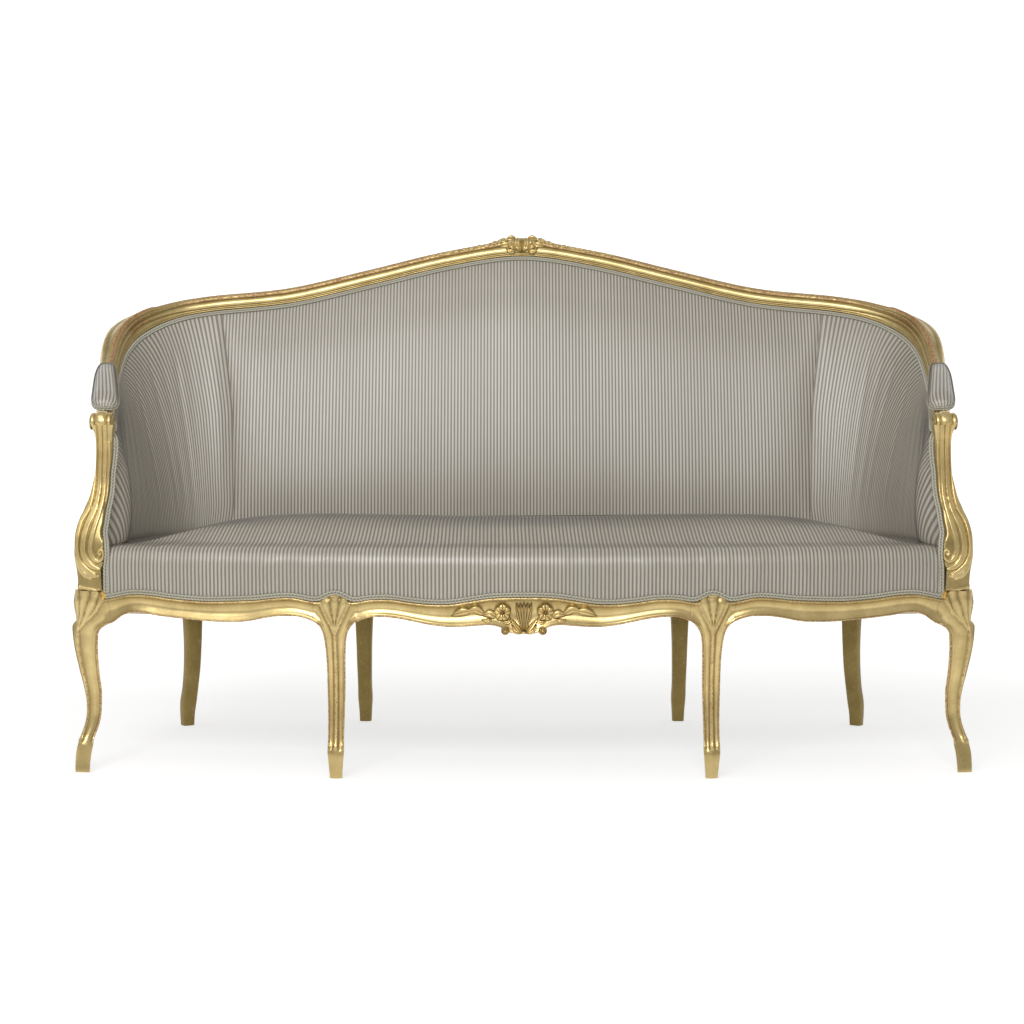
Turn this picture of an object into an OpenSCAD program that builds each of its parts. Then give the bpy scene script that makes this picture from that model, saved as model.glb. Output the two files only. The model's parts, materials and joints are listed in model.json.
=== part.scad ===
// Cabriole sofa: a gilt settee with eight legs, a serpentine crest and a back that wraps into the arms.
// Millimetres. X runs along the sofa, Y from front to back, Z up from the floor.

/* [Overall size] */
// Width over the top rail at its widest
sofa_w = 1775; // [1600:5:2000]
// Depth from the front rail to the back of the crest
sofa_d = 790; // [720:5:880]
// Height to the top of the carved crest
sofa_h = 1090; // [1000:5:1180]

/* [Seat frame] */
// Height of the flat top of the seat rails, which the webbing is tacked to
deck_h = 352; // [330:1:375]
// Thickness of the seat rails from face to back
rail_t = 38; // [34:1:44]
// Height of the seat rails at their back, from the underside to the flat top
rail_back_h = 46; // [42:1:52]
// Height of the moulded face at its tallest, from its lowest edge to its highest
face_h = 56; // [50:1:62]
// Drop from the flat top to the highest edge of the moulded face
rebate_h = 10; // [8:1:14]
// Width of the ledge at the top of the moulded face
ledge_w = 11; // [9:1:14]
// Depth of the mouldings on the face
face_relief = 9; // [4:1:11]
// How far the upper edge of the face dips along its wave
top_wave = 15; // [0:1:18]
// How far the lower edge of the face rises along its wave
low_wave = 20; // [0:1:24]

/* [Legs] */
// Distance of the middle legs from the centre of the sofa
mid_leg_x = 352; // [300:1:400]
// Width of the front legs at the knee
leg_w = 42; // [36:1:48]
// How far the front legs sweep back at the ankle
leg_sweep = 24; // [12:1:32]
// Width of the rear legs at the top
rear_leg_w = 42; // [36:1:48]
// How far the rear legs kick out at the foot
rear_sweep = 26; // [12:1:34]
// Length of the middle leg heads along the front rail
mid_head_w = 84; // [76:1:96]
// Length of the corner leg heads from the corner, along each rail
corner_head_w = 45; // [42:1:56]
// Length of the rear leg heads along the rail
rear_head_w = 70; // [64:1:80]

/* [Back and arms] */
// Thickness of the top rail from its face to its back
top_rail_t = 36; // [32:1:42]
// Height of the top rail's section
top_rail_h = 34; // [30:1:40]
// Extra height of the carved crest at the centre
crest_rise = 7; // [0:1:14]
// Height of the middle of the arm scrolls
scroll_z = 666; // [630:1:700]
// Radius of the arm scrolls
scroll_r = 23; // [19:1:27]
// Width of the arm scrolls
scroll_w = 50; // [42:1:58]
// Width of the arm supports at their widest
support_w = 47; // [40:1:54]
// Thickness of the back posts from front to back
post_t = 20; // [18:1:22]
// Width of the back posts
post_w = 44; // [38:1:52]
// Height of the lower back rails above the flat top of the seat rails
lower_rail_up = 34; // [28:1:50]
// Height of the lower back rails' section
lower_rail_h = 36; // [28:1:44]

/* [Joints] */
// Length of the tenons of the seat rails
tenon_l = 24; // [16:1:27]
// Thickness of the tenons
tenon_t = 12; // [8:1:14]
// Gap between a tenon and its mortise on every side
tenon_gap = 0.2; // [0.1:0.05:0.3]
// Diameter of the pegs
peg_d = 7; // [5:0.5:9]
// Gap round a peg in its hole
peg_gap = 0.1; // [0.05:0.05:0.2]

/* [Upholstery] */
// Rise of the seat from the flat top of the rails to the top of the crown
seat_rise = 126; // [100:1:145]
// Thickness of the back pad at its fullest
back_pad_t = 60; // [45:1:75]
// Thickness of the wing pads at their fullest
wing_pad_t = 42; // [32:1:52]
// Thickness of the cover fabric with its lining
cover_t = 1.5; // [1:0.1:2]
// Width of the webbing straps
strap_w = 60; // [45:1:70]
// Distance between the middles of two neighbouring straps
strap_pitch = 112; // [90:1:140]
// Thickness of the webbing
web_t = 1.5; // [1:0.1:2]
// Thickness of the hessian
hessian_t = 1; // [0.6:0.1:1.5]
// Width of the gimp braid
gimp_w = 10; // [7:0.5:12]
// Thickness of the gimp braid
gimp_t = 2; // [1.2:0.1:3]
// Thickness of the arm pads at their fullest
arm_pad_t = 27; // [20:1:34]
// Width of the arm pads
arm_pad_w = 44; // [36:1:50]

/* [Hidden] */

// Colours
gilt_colour = [0.78, 0.64, 0.36];
dark_gilt_colour = [0.60, 0.49, 0.27];
wood_colour = [0.72, 0.57, 0.40];
stripe_colour = [0.74, 0.72, 0.66];
braid_colour = [0.66, 0.65, 0.57];
cloth_colour = [0.62, 0.52, 0.38];
pad_colour = [0.85, 0.82, 0.74];

// Clearances and overruns
seat_gap = 0.3;
overrun = 2;

// Points and smooth lines
span_steps = 8;

half_w = sofa_w / 2;
function mix(a, b, share) = a + (b - a) * share;
function unit(v) = v / norm(v);
function equal_steps(a, b, count) = [for (i = [0 : count]) mix(a, b, i / count)];
function curve_point(a, b, c, d, t) =
  (2 * b + (c - a) * t + (2 * a - 5 * b + 4 * c - d) * t * t + (3 * b - a - 3 * c + d) * t * t * t) / 2;
// A smooth line through the points; first and last lead into it and out of it
function smooth_line(points, first, last) =
  let (all = concat([first], points, [last]), spans = len(points) - 1)
    concat([for (i = [0 : spans - 1]) for (k = [0 : span_steps - 1])
      curve_point(all[i], all[i + 1], all[i + 2], all[i + 3], k / span_steps)], [points[spans]]);
function natural_line(points) =
  let (n = len(points) - 1)
    smooth_line(points, 2 * points[0] - points[1], 2 * points[n] - points[n - 1]);
function distances(line) =
  [for (i = 0, s = 0; i < len(line);
    s = i + 1 < len(line) ? s + norm(line[i + 1] - line[i]) : s, i = i + 1) s];
function column(keys, line, axis) = [for (i = [0 : len(line) - 1]) [keys[i], line[i][axis]]];

// Outer face line of the seat frame in plan, from the front centre round the right side to the back centre.
// Shares of the half width and of the depth.
seat_line_shares = [
  [0, 0.006], [0.199, 0.014], [0.397, 0.028], [0.566, 0.048], [0.727, 0.073], [0.870, 0.104],
  [0.936, 0.129], [0.9615, 0.171], [0.967, 0.253], [0.960, 0.405], [0.938, 0.557], [0.896, 0.696],
  [0.832, 0.785], [0.721, 0.829], [0.563, 0.848], [0.397, 0.858], [0.198, 0.865], [0, 0.867]];
front_corner_point = 6;
rear_corner_point = 12;
seat_points = [for (p = seat_line_shares) [p[0] * half_w, (p[1] - 0.5) * sofa_d]];
seat_last = len(seat_points) - 1;
function flip_x(p) = [for (i = [0 : len(p) - 1]) i == 0 ? -p[i] : p[i]];
seat_line = smooth_line(seat_points, flip_x(seat_points[1]), flip_x(seat_points[seat_last - 1]));
seat_s = distances(seat_line);
seat_len = seat_s[len(seat_s) - 1];
seat_x_table = column(seat_s, seat_line, 0);
seat_y_table = column(seat_s, seat_line, 1);
look_step = seat_len / 150;

// Parts of the same line, for places found by their X or Y
front_part = [for (i = [0 : front_corner_point * span_steps]) i];
side_part = [for (i = [front_corner_point * span_steps : rear_corner_point * span_steps]) i];
back_part = [for (i = [rear_corner_point * span_steps : seat_last * span_steps]) i];
front_y_of_x = [for (i = front_part) seat_line[i]];
back_y_of_x = [for (i = back_part) seat_line[i]];
side_x_of_y = [for (i = side_part) [seat_line[i][1], seat_line[i][0]]];
front_s_of_x = [for (i = front_part) [seat_line[i][0], seat_s[i]]];
back_s_of_x = [for (i = back_part) [seat_line[i][0], seat_s[i]]];

s_mid = lookup(mid_leg_x, front_s_of_x);
s_corner = seat_s[front_corner_point * span_steps];
s_rear_corner = seat_s[rear_corner_point * span_steps];
s_rear_mid = lookup(mid_leg_x, back_s_of_x);

function seat_fold(s) = s < 0 ? -s : s > seat_len ? 2 * seat_len - s : s;
function seat_side(s) = (s < 0 || s > seat_len) ? -1 : 1;
function seat_at(s) =
  [seat_side(s) * lookup(seat_fold(s), seat_x_table), lookup(seat_fold(s), seat_y_table)];
function seat_along(s) = unit(seat_at(s + look_step) - seat_at(s - look_step));
function seat_out(s) = let (t = seat_along(s)) [t[1], -t[0]];
function seat_off(s, out) = seat_at(s) + out * seat_out(s);

// Waves of the moulded face: keys are shares of a bay, values shares of the wave
centre_top_shares = natural_line([[0, 1], [0.23, 0.6], [0.44, 0], [0.6, 0.33], [0.76, 0.73],
  [0.88, 0.15], [1, 0.5]]);
centre_low_shares = natural_line([[0, 0.1], [0.23, 0.15], [0.38, 0], [0.55, 0.4], [0.73, 0.95],
  [0.84, 0.75], [1, 0.5]]);
side_top_shares = natural_line([[0, 0.5], [0.1, 0.27], [0.19, 0.8], [0.34, 0.47], [0.49, 0.2], [0.67, 0.4],
  [0.8, 0.8], [0.87, 0.9], [1, 0.5]]);
side_low_shares = natural_line([[0, 0.5], [0.1, 0.55], [0.19, 0.95], [0.32, 0.65], [0.46, 0.3], [0.63, 0.45],
  [0.76, 0.8], [0.85, 1], [0.94, 0.8], [1, 0.3]]);
flank_low_shares = natural_line([[0, 0.3], [0.25, 0.7], [0.5, 1], [0.75, 0.7], [1, 0.3]]);
rest_wave_share = 0.5;
function wave_share(s, centre, side, flank) =
  let (f = seat_fold(s))
    f < s_mid ? lookup(f / s_mid, centre)
    : f < s_corner ? lookup((f - s_mid) / (s_corner - s_mid), side)
    : f < s_rear_corner ? lookup((f - s_corner) / (s_rear_corner - s_corner), flank)
    : rest_wave_share;
flank_top_shares = [[0, rest_wave_share], [1, rest_wave_share]];
face_top = deck_h - rebate_h;
face_bottom = face_top - face_h;
under_h = deck_h - rail_back_h;
function show_top(s) =
  face_top - top_wave * (1 - wave_share(s, centre_top_shares, side_top_shares, flank_top_shares));
function show_low(s) =
  face_bottom + low_wave * wave_share(s, centre_low_shares, side_low_shares, flank_low_shares);
// The mouldings fade to a faint line round the rear corners, so that the back of the frame is nearly plain
back_relief_share = 0.15;
function relief(s) = face_relief * lookup(seat_fold(s),
  [[s_rear_corner - rear_head_w, 1], [s_rear_corner + rear_head_w / 2, back_relief_share]]);

// Face mouldings from the bottom edge up: shares of the relief behind the face line, and of the face height
face_shares = [
  [0.15, 0], [0, 0.12], [0.3, 0.25], [0.75, 0.36], [1, 0.62], [0.7, 0.85], [0.25, 0.9], [0.3, 1]];

// One ring of the seat rail at a place along the line, clockwise in outward and upward directions
function rail_ring(s) =
  let (top = show_top(s), low = show_low(s), deep = relief(s), c = seat_at(s), n = seat_out(s),
    outline = concat(
      [[-rail_t, under_h], [-rail_t, deck_h], [-ledge_w, deck_h], [-ledge_w, top]],
      [for (i = [len(face_shares) - 1 : -1 : 0])
        [-face_shares[i][0] * deep, mix(low, top, face_shares[i][1])]]))
    [for (p = outline) [c[0] + p[0] * n[0], c[1] + p[0] * n[1], p[1]]];

// Closed solid through a row of rings that run counterclockwise round the direction of travel.
// Each four-cornered patch is split along its shorter diagonal.
module skin(rings) {
  count = len(rings[0]);
  last = len(rings) - 1;
  sides = [for (i = [0 : last - 1]) for (j = [0 : count - 1])
    let (k = (j + 1) % count, a = i * count + j, b = (i + 1) * count + j,
      c = (i + 1) * count + k, d = i * count + k)
      each norm(rings[i + 1][k] - rings[i][j]) <= norm(rings[i + 1][j] - rings[i][k])
        ? [[a, b, c], [a, c, d]] : [[a, b, d], [b, c, d]]];
  front = [for (j = [0 : count - 1]) j];
  back = [for (j = [count - 1 : -1 : 0]) last * count + j];
  polyhedron(points = [for (ring = rings) each ring], faces = concat([front], [back], sides));
}

module on_side(side) {
  if (side < 0) mirror([1, 0, 0]) children();
  else children();
}

// A box set across the seat rail at a place on the line: along, across and up from given edges
module rail_box(s, along_low, along_high, out_low, out_high, z_low, z_high) {
  c = seat_at(s);
  n = seat_out(s);
  translate([c[0], c[1], 0])
    rotate([0, 0, atan2(n[1], n[0])])
      translate([out_low, along_low, z_low])
        cube([out_high - out_low, along_high - along_low, z_high - z_low]);
}

// Seat rails and their tenons
tenon_out = -rail_t * 0.52;
tenon_low = under_h + rail_back_h / 6;
tenon_high = deck_h - rail_back_h / 6;
tenon_root = tenon_l / 2;
rail_step = 36;

function rail_count(s_from, s_to) = max(2, ceil((s_to - s_from) / rail_step));
module rail_body(s_from, s_to) {
  skin([for (s = equal_steps(s_from, s_to, rail_count(s_from, s_to))) rail_ring(s)]);
}

// A tenon that leaves the rail's end at s; ahead is 1 when it points along the line and -1 against it
module tenon(s, ahead, grow) {
  reach = tenon_l + grow;
  low = ahead > 0 ? -tenon_root : -reach;
  high = ahead > 0 ? reach : tenon_root;
  rail_box(s, low, high, tenon_out - tenon_t / 2 - grow, tenon_out + tenon_t / 2 + grow,
    tenon_low - grow, tenon_high + grow);
}

// The peg that locks the tenon of the end at s, from the back of the rail forwards
peg_tip = -rail_t / 4;
module peg_shape(s, ahead, grow, back) {
  c = seat_at(s);
  n = seat_out(s);
  translate([c[0], c[1], (tenon_low + tenon_high) / 2])
    rotate([0, 0, atan2(n[1], n[0])])
      translate([-rail_t - back, ahead * tenon_l / 2, 0])
        rotate([0, 90, 0])
          cylinder(d = peg_d + 2 * grow, h = rail_t + peg_tip + back, $fn = 32);
}

module seat_rail(s_from, s_to) {
  difference() {
    union() {
      rail_body(s_from, s_to);
      tenon(s_from, -1, 0);
      tenon(s_to, 1, 0);
    }
    peg_shape(s_from, -1, peg_gap, overrun);
    peg_shape(s_to, 1, peg_gap, overrun);
  }
}

module head_cuts(s_from, s_to) {
  tenon(s_from, 1, tenon_gap);
  tenon(s_to, -1, tenon_gap);
  peg_shape(s_from, 1, peg_gap, overrun);
  peg_shape(s_to, -1, peg_gap, overrun);
}

// Places where the rails end and the leg heads begin
mid_from = s_mid - mid_head_w / 2;
mid_to = s_mid + mid_head_w / 2;
corner_from = s_corner - corner_head_w;
corner_to = s_corner + corner_head_w;
rear_corner_from = s_rear_corner - rear_head_w / 2;
rear_corner_to = s_rear_corner + rear_head_w / 2;
rear_mid_from = s_rear_mid - rear_head_w / 2;
rear_mid_to = s_rear_mid + rear_head_w / 2;

module front_rail_centre() color(gilt_colour) seat_rail(-mid_from, mid_from);
module front_rail(side) color(gilt_colour) on_side(side) seat_rail(mid_to, corner_from);
module side_rail(side) color(gilt_colour) on_side(side) seat_rail(corner_to, rear_corner_from);
module rear_rail(side) color(dark_gilt_colour) on_side(side) seat_rail(rear_corner_to, rear_mid_from);
module rear_rail_centre() color(dark_gilt_colour) seat_rail(rear_mid_to, 2 * seat_len - rear_mid_to);

// Legs: rows of height share, set-back share of the sweep, width share and depth share
// Leg section, counterclockwise from above: across and back shares of the width and the depth
leg_section_shares = [
  [0, 0], [0.28, 0.05], [0.45, 0.2], [0.5, 0.5], [0.45, 0.84], [0.26, 1],
  [-0.26, 1], [-0.45, 0.84], [-0.5, 0.5], [-0.45, 0.2], [-0.28, 0.05]];
mid_leg_shares = [
  [0, 0.4, 0.60, 0.62], [0.07, 0.3, 0.67, 0.67], [0.155, 0.22, 0.76, 0.76], [0.18, 0.3, 0.70, 0.70],
  [0.26, 0.6, 0.70, 0.68], [0.37, 0.9, 0.76, 0.70], [0.5, 1.04, 0.86, 0.76], [0.62, 1, 0.9, 0.80],
  [0.75, 0.72, 0.93, 0.84], [0.86, 0.3, 1.04, 0.86], [0.95, 0, 1.26, 0.80], [1.04, -0.1, 1.55, 0.62],
  [1.12, 0.2, 1.5, 0.5]];
corner_leg_shares = [
  [0, 0.07, 0.62, 0.62], [0.108, -0.09, 0.78, 0.78], [0.155, -0.03, 0.72, 0.72], [0.18, 0.15, 0.66, 0.66],
  [0.25, 0.6, 0.60, 0.62], [0.35, 0.93, 0.58, 0.64], [0.45, 1, 0.62, 0.70], [0.56, 0.8, 0.72, 0.82],
  [0.68, 0.38, 0.82, 0.98], [0.8, 0.08, 0.94, 1.06], [0.92, 0, 1.02, 0.98], [1.01, 0, 1.05, 0.8],
  [1.12, 0, 1, 0.75]];
rear_leg_shares = [
  [0, -0.9, 0.66, 0.66], [0.09, -0.95, 0.72, 0.72], [0.18, -0.8, 0.80, 0.78], [0.3, -0.35, 0.76, 0.76],
  [0.45, 0, 0.8, 0.78], [0.62, 0.15, 0.86, 0.78], [0.8, 0.15, 0.96, 0.78], [0.95, 0.1, 1.04, 0.72],
  [1.12, 0.12, 1.04, 0.68]];

square_turn = 90;
function facing(turn) = [sin(turn), -cos(turn)];
// Rings of a leg: start is the middle of its front at the knee; it faces one turn and sweeps along another
function leg_rings(start, face_turn, sweep_turn, sweep, width, top_z, rows) =
  let (front = facing(face_turn), across = facing(face_turn + square_turn), back = -facing(sweep_turn))
    [for (row = rows)
      let (c = start + row[1] * sweep * back)
        [for (p = leg_section_shares)
          let (q = c + across * p[0] * row[2] * width - front * p[1] * row[3] * width)
            [q[0], q[1], row[0] * top_z]]];

// The leg's front sits a little behind the face line of the rail, or beyond it for a negative share
leg_top_h = under_h - low_wave / 2;
corner_face_turn = 20;
corner_sweep_turn = 45;
corner_sweep = leg_sweep * 0.9;
rear_corner_turn = 145;
rear_face_turn = 180;
front_set = leg_w / 16;
rear_set = leg_w / 14;

module mid_leg_shaft() {
  skin(leg_rings(seat_off(s_mid, -front_set), 0, 0, leg_sweep, leg_w, leg_top_h, mid_leg_shares));
}

module corner_leg_shaft() {
  skin(leg_rings(seat_off(s_corner, -front_set), corner_face_turn, corner_sweep_turn, corner_sweep, leg_w,
    leg_top_h, corner_leg_shares));
}

module rear_leg_shaft(s, turn) {
  skin(leg_rings(seat_off(s, -rear_set), turn, turn, rear_sweep, rear_leg_w, leg_top_h, rear_leg_shares));
}

// Stretchers run from the middle front leg to the middle rear leg, under the webbing
stretcher_w = rail_t * 0.8;
stretcher_low = under_h + rail_back_h * 0.1;
stretcher_high = deck_h - rail_back_h * 0.2;
stretcher_tenon_l = rail_t * 0.5;
stretcher_tenon_w = stretcher_w * 0.45;
stretcher_front = seat_off(s_mid, -rail_t)[1];
stretcher_back = seat_off(s_rear_mid, -rail_t)[1];
module stretcher_tenons(grow) {
  span = stretcher_back - stretcher_front + 2 * (stretcher_tenon_l + grow);
  inset = (stretcher_high - stretcher_low) / 5;
  translate([mid_leg_x - stretcher_tenon_w / 2 - grow, stretcher_front - stretcher_tenon_l - grow,
      stretcher_low + inset - grow])
    cube([stretcher_tenon_w + 2 * grow, span, stretcher_high - stretcher_low - 2 * inset + 2 * grow]);
}

shoulder_gap = rail_t * 0.08;
module seat_stretcher(side) color(wood_colour) on_side(side) {
  translate([mid_leg_x - stretcher_w / 2, stretcher_front + shoulder_gap, stretcher_low])
    cube([stretcher_w, stretcher_back - stretcher_front - 2 * shoulder_gap, stretcher_high - stretcher_low]);
  stretcher_tenons(0);
}

module front_mid_leg(side) color(gilt_colour) on_side(side) difference() {
  union() {
    rail_body(mid_from, mid_to);
    mid_leg_shaft();
  }
  head_cuts(mid_from, mid_to);
  stretcher_tenons(tenon_gap);
}

module front_corner_leg(side) color(gilt_colour) on_side(side) difference() {
  union() {
    rail_body(corner_from, corner_to);
    corner_leg_shaft();
  }
  head_cuts(corner_from, corner_to);
  support_tenon(tenon_gap);
}

// Blocks in the corners of the frame follow the inside of the rails, station for station
block_low = under_h + rail_back_h * 0.12;
block_high = deck_h - rail_back_h * 0.15;
block_in = seat_gap / 2;
// Each block reaches two stations past the leg's head, onto the rail on each side of it
block_over_count = 2;
function block_stations(rail_from, head_from, head_to, rail_to) =
  let (before = (head_from - rail_from) / rail_count(rail_from, head_from),
    after = (rail_to - head_to) / rail_count(head_to, rail_to))
    concat([for (i = [block_over_count : -1 : 1]) head_from - i * before],
      equal_steps(head_from, head_to, rail_count(head_from, head_to)),
      [for (i = [1 : block_over_count]) head_to + i * after]);
module corner_block(places) {
  translate([0, 0, block_low])
    linear_extrude(block_high - block_low)
      polygon([for (q = places) seat_off(q, -rail_t - block_in)]);
}

module corner_blocks() color(wood_colour) for (side = [-1, 1]) on_side(side) {
  corner_block(block_stations(mid_to, corner_from, corner_to, rear_corner_from));
  corner_block(block_stations(corner_to, rear_corner_from, rear_corner_to, rear_mid_from));
}

module frame_pegs() color(wood_colour) for (side = [-1, 1]) on_side(side) {
  for (s = [mid_from, corner_from, rear_corner_from, rear_mid_from]) peg_shape(s, 1, 0, 0);
  for (s = [mid_to, corner_to, rear_corner_to, rear_mid_to]) peg_shape(s, -1, 0, 0);
}

// Middle line of the top rail and the arm, from the centre of the crest to the scroll on the right.
// Shares of the half width, of the depth, and of the height between the scroll and the crest.
top_line_shares = [
  [0, 0.968, 1], [0.184, 0.966, 0.945], [0.389, 0.954, 0.835], [0.59, 0.934, 0.73], [0.79, 0.901, 0.6775],
  [0.89, 0.858, 0.625], [0.9555, 0.785, 0.54], [0.979, 0.696, 0.4425], [0.978, 0.595, 0.3225],
  [0.9645, 0.481, 0.2], [0.944, 0.373, 0.09], [0.924, 0.272, 0.005], [0.915, 0.2, -0.01]];
crest_z = sofa_h - crest_rise - top_rail_h / 2;
top_points = [for (p = top_line_shares)
  [p[0] * half_w, (p[1] - 0.5) * sofa_d, mix(scroll_z, crest_z, p[2])]];
top_last = len(top_points) - 1;
top_line = smooth_line(top_points, flip_x(top_points[1]),
  2 * top_points[top_last] - top_points[top_last - 1]);
top_s = distances(top_line);
top_len = top_s[len(top_s) - 1];
top_x_table = column(top_s, top_line, 0);
top_y_table = column(top_s, top_line, 1);
top_z_table = column(top_s, top_line, 2);
function sign_of(u) = u < 0 ? -1 : 1;
function top_at(u) = [sign_of(u) * lookup(abs(u), top_x_table), lookup(abs(u), top_y_table),
  lookup(abs(u), top_z_table)];
function top_along(u) = unit(top_at(u + look_step) - top_at(u - look_step));
function top_out(u) = let (t = top_along(u)) unit([-t[1], t[0], 0]);
function top_up(u) = cross(top_along(u), top_out(u));

// Top rail section, counterclockwise in outward and upward shares
top_rail_shares = [
  [-0.4, -0.5], [0.38, -0.5], [0.5, -0.3], [0.5, 0.25], [0.36, 0.46], [0, 0.5], [-0.3, 0.5], [-0.44, 0.4],
  [-0.4, 0.24], [-0.3, 0.04], [-0.38, -0.16], [-0.5, -0.26], [-0.5, -0.42]];
crest_reach = 90;
crest_lift_shares = natural_line([[0, 1], [0.35, 0.9], [0.7, 0.35], [1, 0]]);
function crest_lift(u) =
  crest_rise * (abs(u) < crest_reach ? lookup(abs(u) / crest_reach, crest_lift_shares) : 0);
function top_ring(u, size_share) =
  let (c = top_at(u), out = top_out(u), up = top_up(u), lift = crest_lift(u))
    [for (p = top_rail_shares)
      c + out * p[0] * top_rail_t * size_share
        + up * (p[1] * top_rail_h * size_share + (p[1] > 0 ? lift * 2 * p[1] : 0))];

// Stations round the back: w runs from 0 at the back centre to 1 behind the right arm support.
// Everything in the back bends at the same stations, so that the layers stay parallel.
scroll_reach = 22;
top_reach = top_len - scroll_reach;
s_arm = corner_to;
back_span = seat_len - s_arm;
seam_share = 0.49;
pad_end_share = 0.985;
centre_cell_count = 10;
wing_cell_count = 14;
slack_share = 0.002;
half_grid = concat(equal_steps(0, seam_share, centre_cell_count),
  [for (i = [1 : wing_cell_count]) mix(seam_share, pad_end_share, i / wing_cell_count)], [1]);
full_grid = concat([for (i = [len(half_grid) - 1 : -1 : 1]) -half_grid[i]], half_grid);
function stations(from, to) = concat([from],
  [for (w = full_grid) if (w > from + slack_share && w < to - slack_share) w], [to]);
function base_s(w) = seat_len - w * back_span;
function w_of_s(s) = (seat_len - s) / back_span;
function w_of_length(length) = length / back_span;
base_line = [for (w = half_grid) let (p = seat_off(base_s(w), -rail_t / 2)) [p[0], p[1], deck_h]];
roof_line = [for (w = half_grid) top_at(w * top_reach) - top_up(w * top_reach) * top_rail_h / 2];
inward_line = [for (w = half_grid)
  let (a = -seat_out(base_s(w)), b = -top_out(w * top_reach)) unit([a[0] + b[0], a[1] + b[1], 0])];
base_tables = [for (axis = [0 : 2]) column(half_grid, base_line, axis)];
roof_tables = [for (axis = [0 : 2]) column(half_grid, roof_line, axis)];
inward_tables = [for (axis = [0 : 2]) column(half_grid, inward_line, axis)];
function on_grid(w, tables) =
  [sign_of(w) * lookup(abs(w), tables[0]), lookup(abs(w), tables[1]), lookup(abs(w), tables[2])];
// A point of the back at station w, v up from the seat rail to the top rail, and in by a length
function back_point(w, v, a) =
  mix(on_grid(w, base_tables), on_grid(w, roof_tables), v) + on_grid(w, inward_tables) * a;
function v_of_z(w, z) = (z - deck_h) / (on_grid(w, roof_tables)[2] - deck_h);
function height_at(w) = norm(on_grid(w, roof_tables) - on_grid(w, base_tables));

// A sheet or bar in the back between two stations, two heights given as values of v, and two depths
module panel(w_from, w_to, v_low, v_high, a_low, a_high) {
  skin([for (w = stations(w_from, w_to))
    [back_point(w, v_low, a_low), back_point(w, v_high, a_low),
      back_point(w, v_high, a_high), back_point(w, v_low, a_high)]]);
}

// Depths of the layers in the back, counted inwards from the middle of the seat rail
layer_gap = 0.8;
post_a = -0.46 * top_rail_t;
post_b = post_a + post_t;
strap_a = post_b + seat_gap;
strap_b = strap_a + web_t;
level_a = strap_b + layer_gap;
level_b = level_a + web_t;
back_hess_a = level_b + layer_gap;
back_hess_b = back_hess_a + hessian_t;
pad_a = back_hess_b + layer_gap;
outer_a = post_a - layer_gap - cover_t;

// Back posts: each stands on its leg's head and is tenoned into the top rail
w_mid_post = w_of_s(s_rear_mid);
w_corner_post = w_of_s(s_rear_corner);
post_tenon_l = top_rail_h * 0.5;
module post_tenon(w, grow) {
  up = (post_tenon_l + grow) / height_at(w);
  half = w_of_length(post_w * 0.3 + grow);
  panel(w - half, w + half, 0.9, 1 + up, post_a + post_t * 0.25 - grow, post_b - post_t * 0.25 + grow);
}

post_half = w_of_length(post_w / 2);
module back_post(w) {
  panel(w - post_half, w + post_half, -0.02, 1 - 3 * seat_gap / height_at(w), post_a, post_b);
  post_tenon(w, 0);
}

module rear_post(s, w, turn, s_from, s_to, has_stretcher) {
  difference() {
    union() {
      rail_body(s_from, s_to);
      rear_leg_shaft(s, turn);
      back_post(w);
    }
    head_cuts(s_from, s_to);
    if (has_stretcher) stretcher_tenons(tenon_gap);
    for (v = lower_tenon_spots(w)) lower_tenon(v, tenon_gap);
  }
}

module rear_mid_post(side) color(dark_gilt_colour) on_side(side)
  rear_post(s_rear_mid, w_mid_post, rear_face_turn, rear_mid_from, rear_mid_to, true);
module rear_corner_post(side) color(dark_gilt_colour) on_side(side)
  rear_post(s_rear_corner, w_corner_post, rear_corner_turn, rear_corner_from, rear_corner_to, false);

// Lower back rails hold the foot of the back pad and are tenoned into the posts
lower_z = deck_h + lower_rail_up;
lower_tenon_l = post_w * 0.3;
function lower_v(w) = [v_of_z(w, lower_z), v_of_z(w, lower_z + lower_rail_h)];
function lower_ring(w, in_from, in_to, trim) =
  let (v = lower_v(w), cut = trim / height_at(w))
    [back_point(w, v[0] + cut, in_from), back_point(w, v[1] - cut, in_from),
      back_point(w, v[1] - cut, in_to), back_point(w, v[0] + cut, in_to)];
module lower_bar(w_from, w_to, trim, in_trim) {
  skin([for (w = stations(w_from, w_to)) lower_ring(w, post_a + in_trim, post_b - in_trim, trim)]);
}

// Tenons at both sides of a post: the stations they cover
tenon_into = post_half - w_of_length(lower_tenon_l);
tenon_out_of = post_half + w_of_length(lower_tenon_l / 2);
function lower_tenon_spots(w) = [[w - tenon_out_of, w - tenon_into], [w + tenon_into, w + tenon_out_of]];
module lower_tenon(spot, grow) {
  more = w_of_length(grow);
  lower_bar(spot[0] - more, spot[1] + more, lower_rail_h / 5 - grow, post_t / 4 - grow);
}

rail_start = post_half + w_of_length(seat_gap);
module lower_rail_between(w_a, w_b) {
  lower_bar(w_a + rail_start, w_b - rail_start, 0, 0);
  lower_tenon(lower_tenon_spots(w_a)[1], 0);
  lower_tenon(lower_tenon_spots(w_b)[0], 0);
}

module lower_back_rail_centre() color(wood_colour) lower_rail_between(-w_mid_post, w_mid_post);
module lower_back_rail(side) color(wood_colour) on_side(side) lower_rail_between(w_mid_post, w_corner_post);
module lower_wing_rail(side) color(wood_colour) on_side(side) {
  lower_bar(w_corner_post + rail_start, pad_end_share, 0, 0);
  lower_tenon(lower_tenon_spots(w_corner_post)[1], 0);
}

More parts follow.
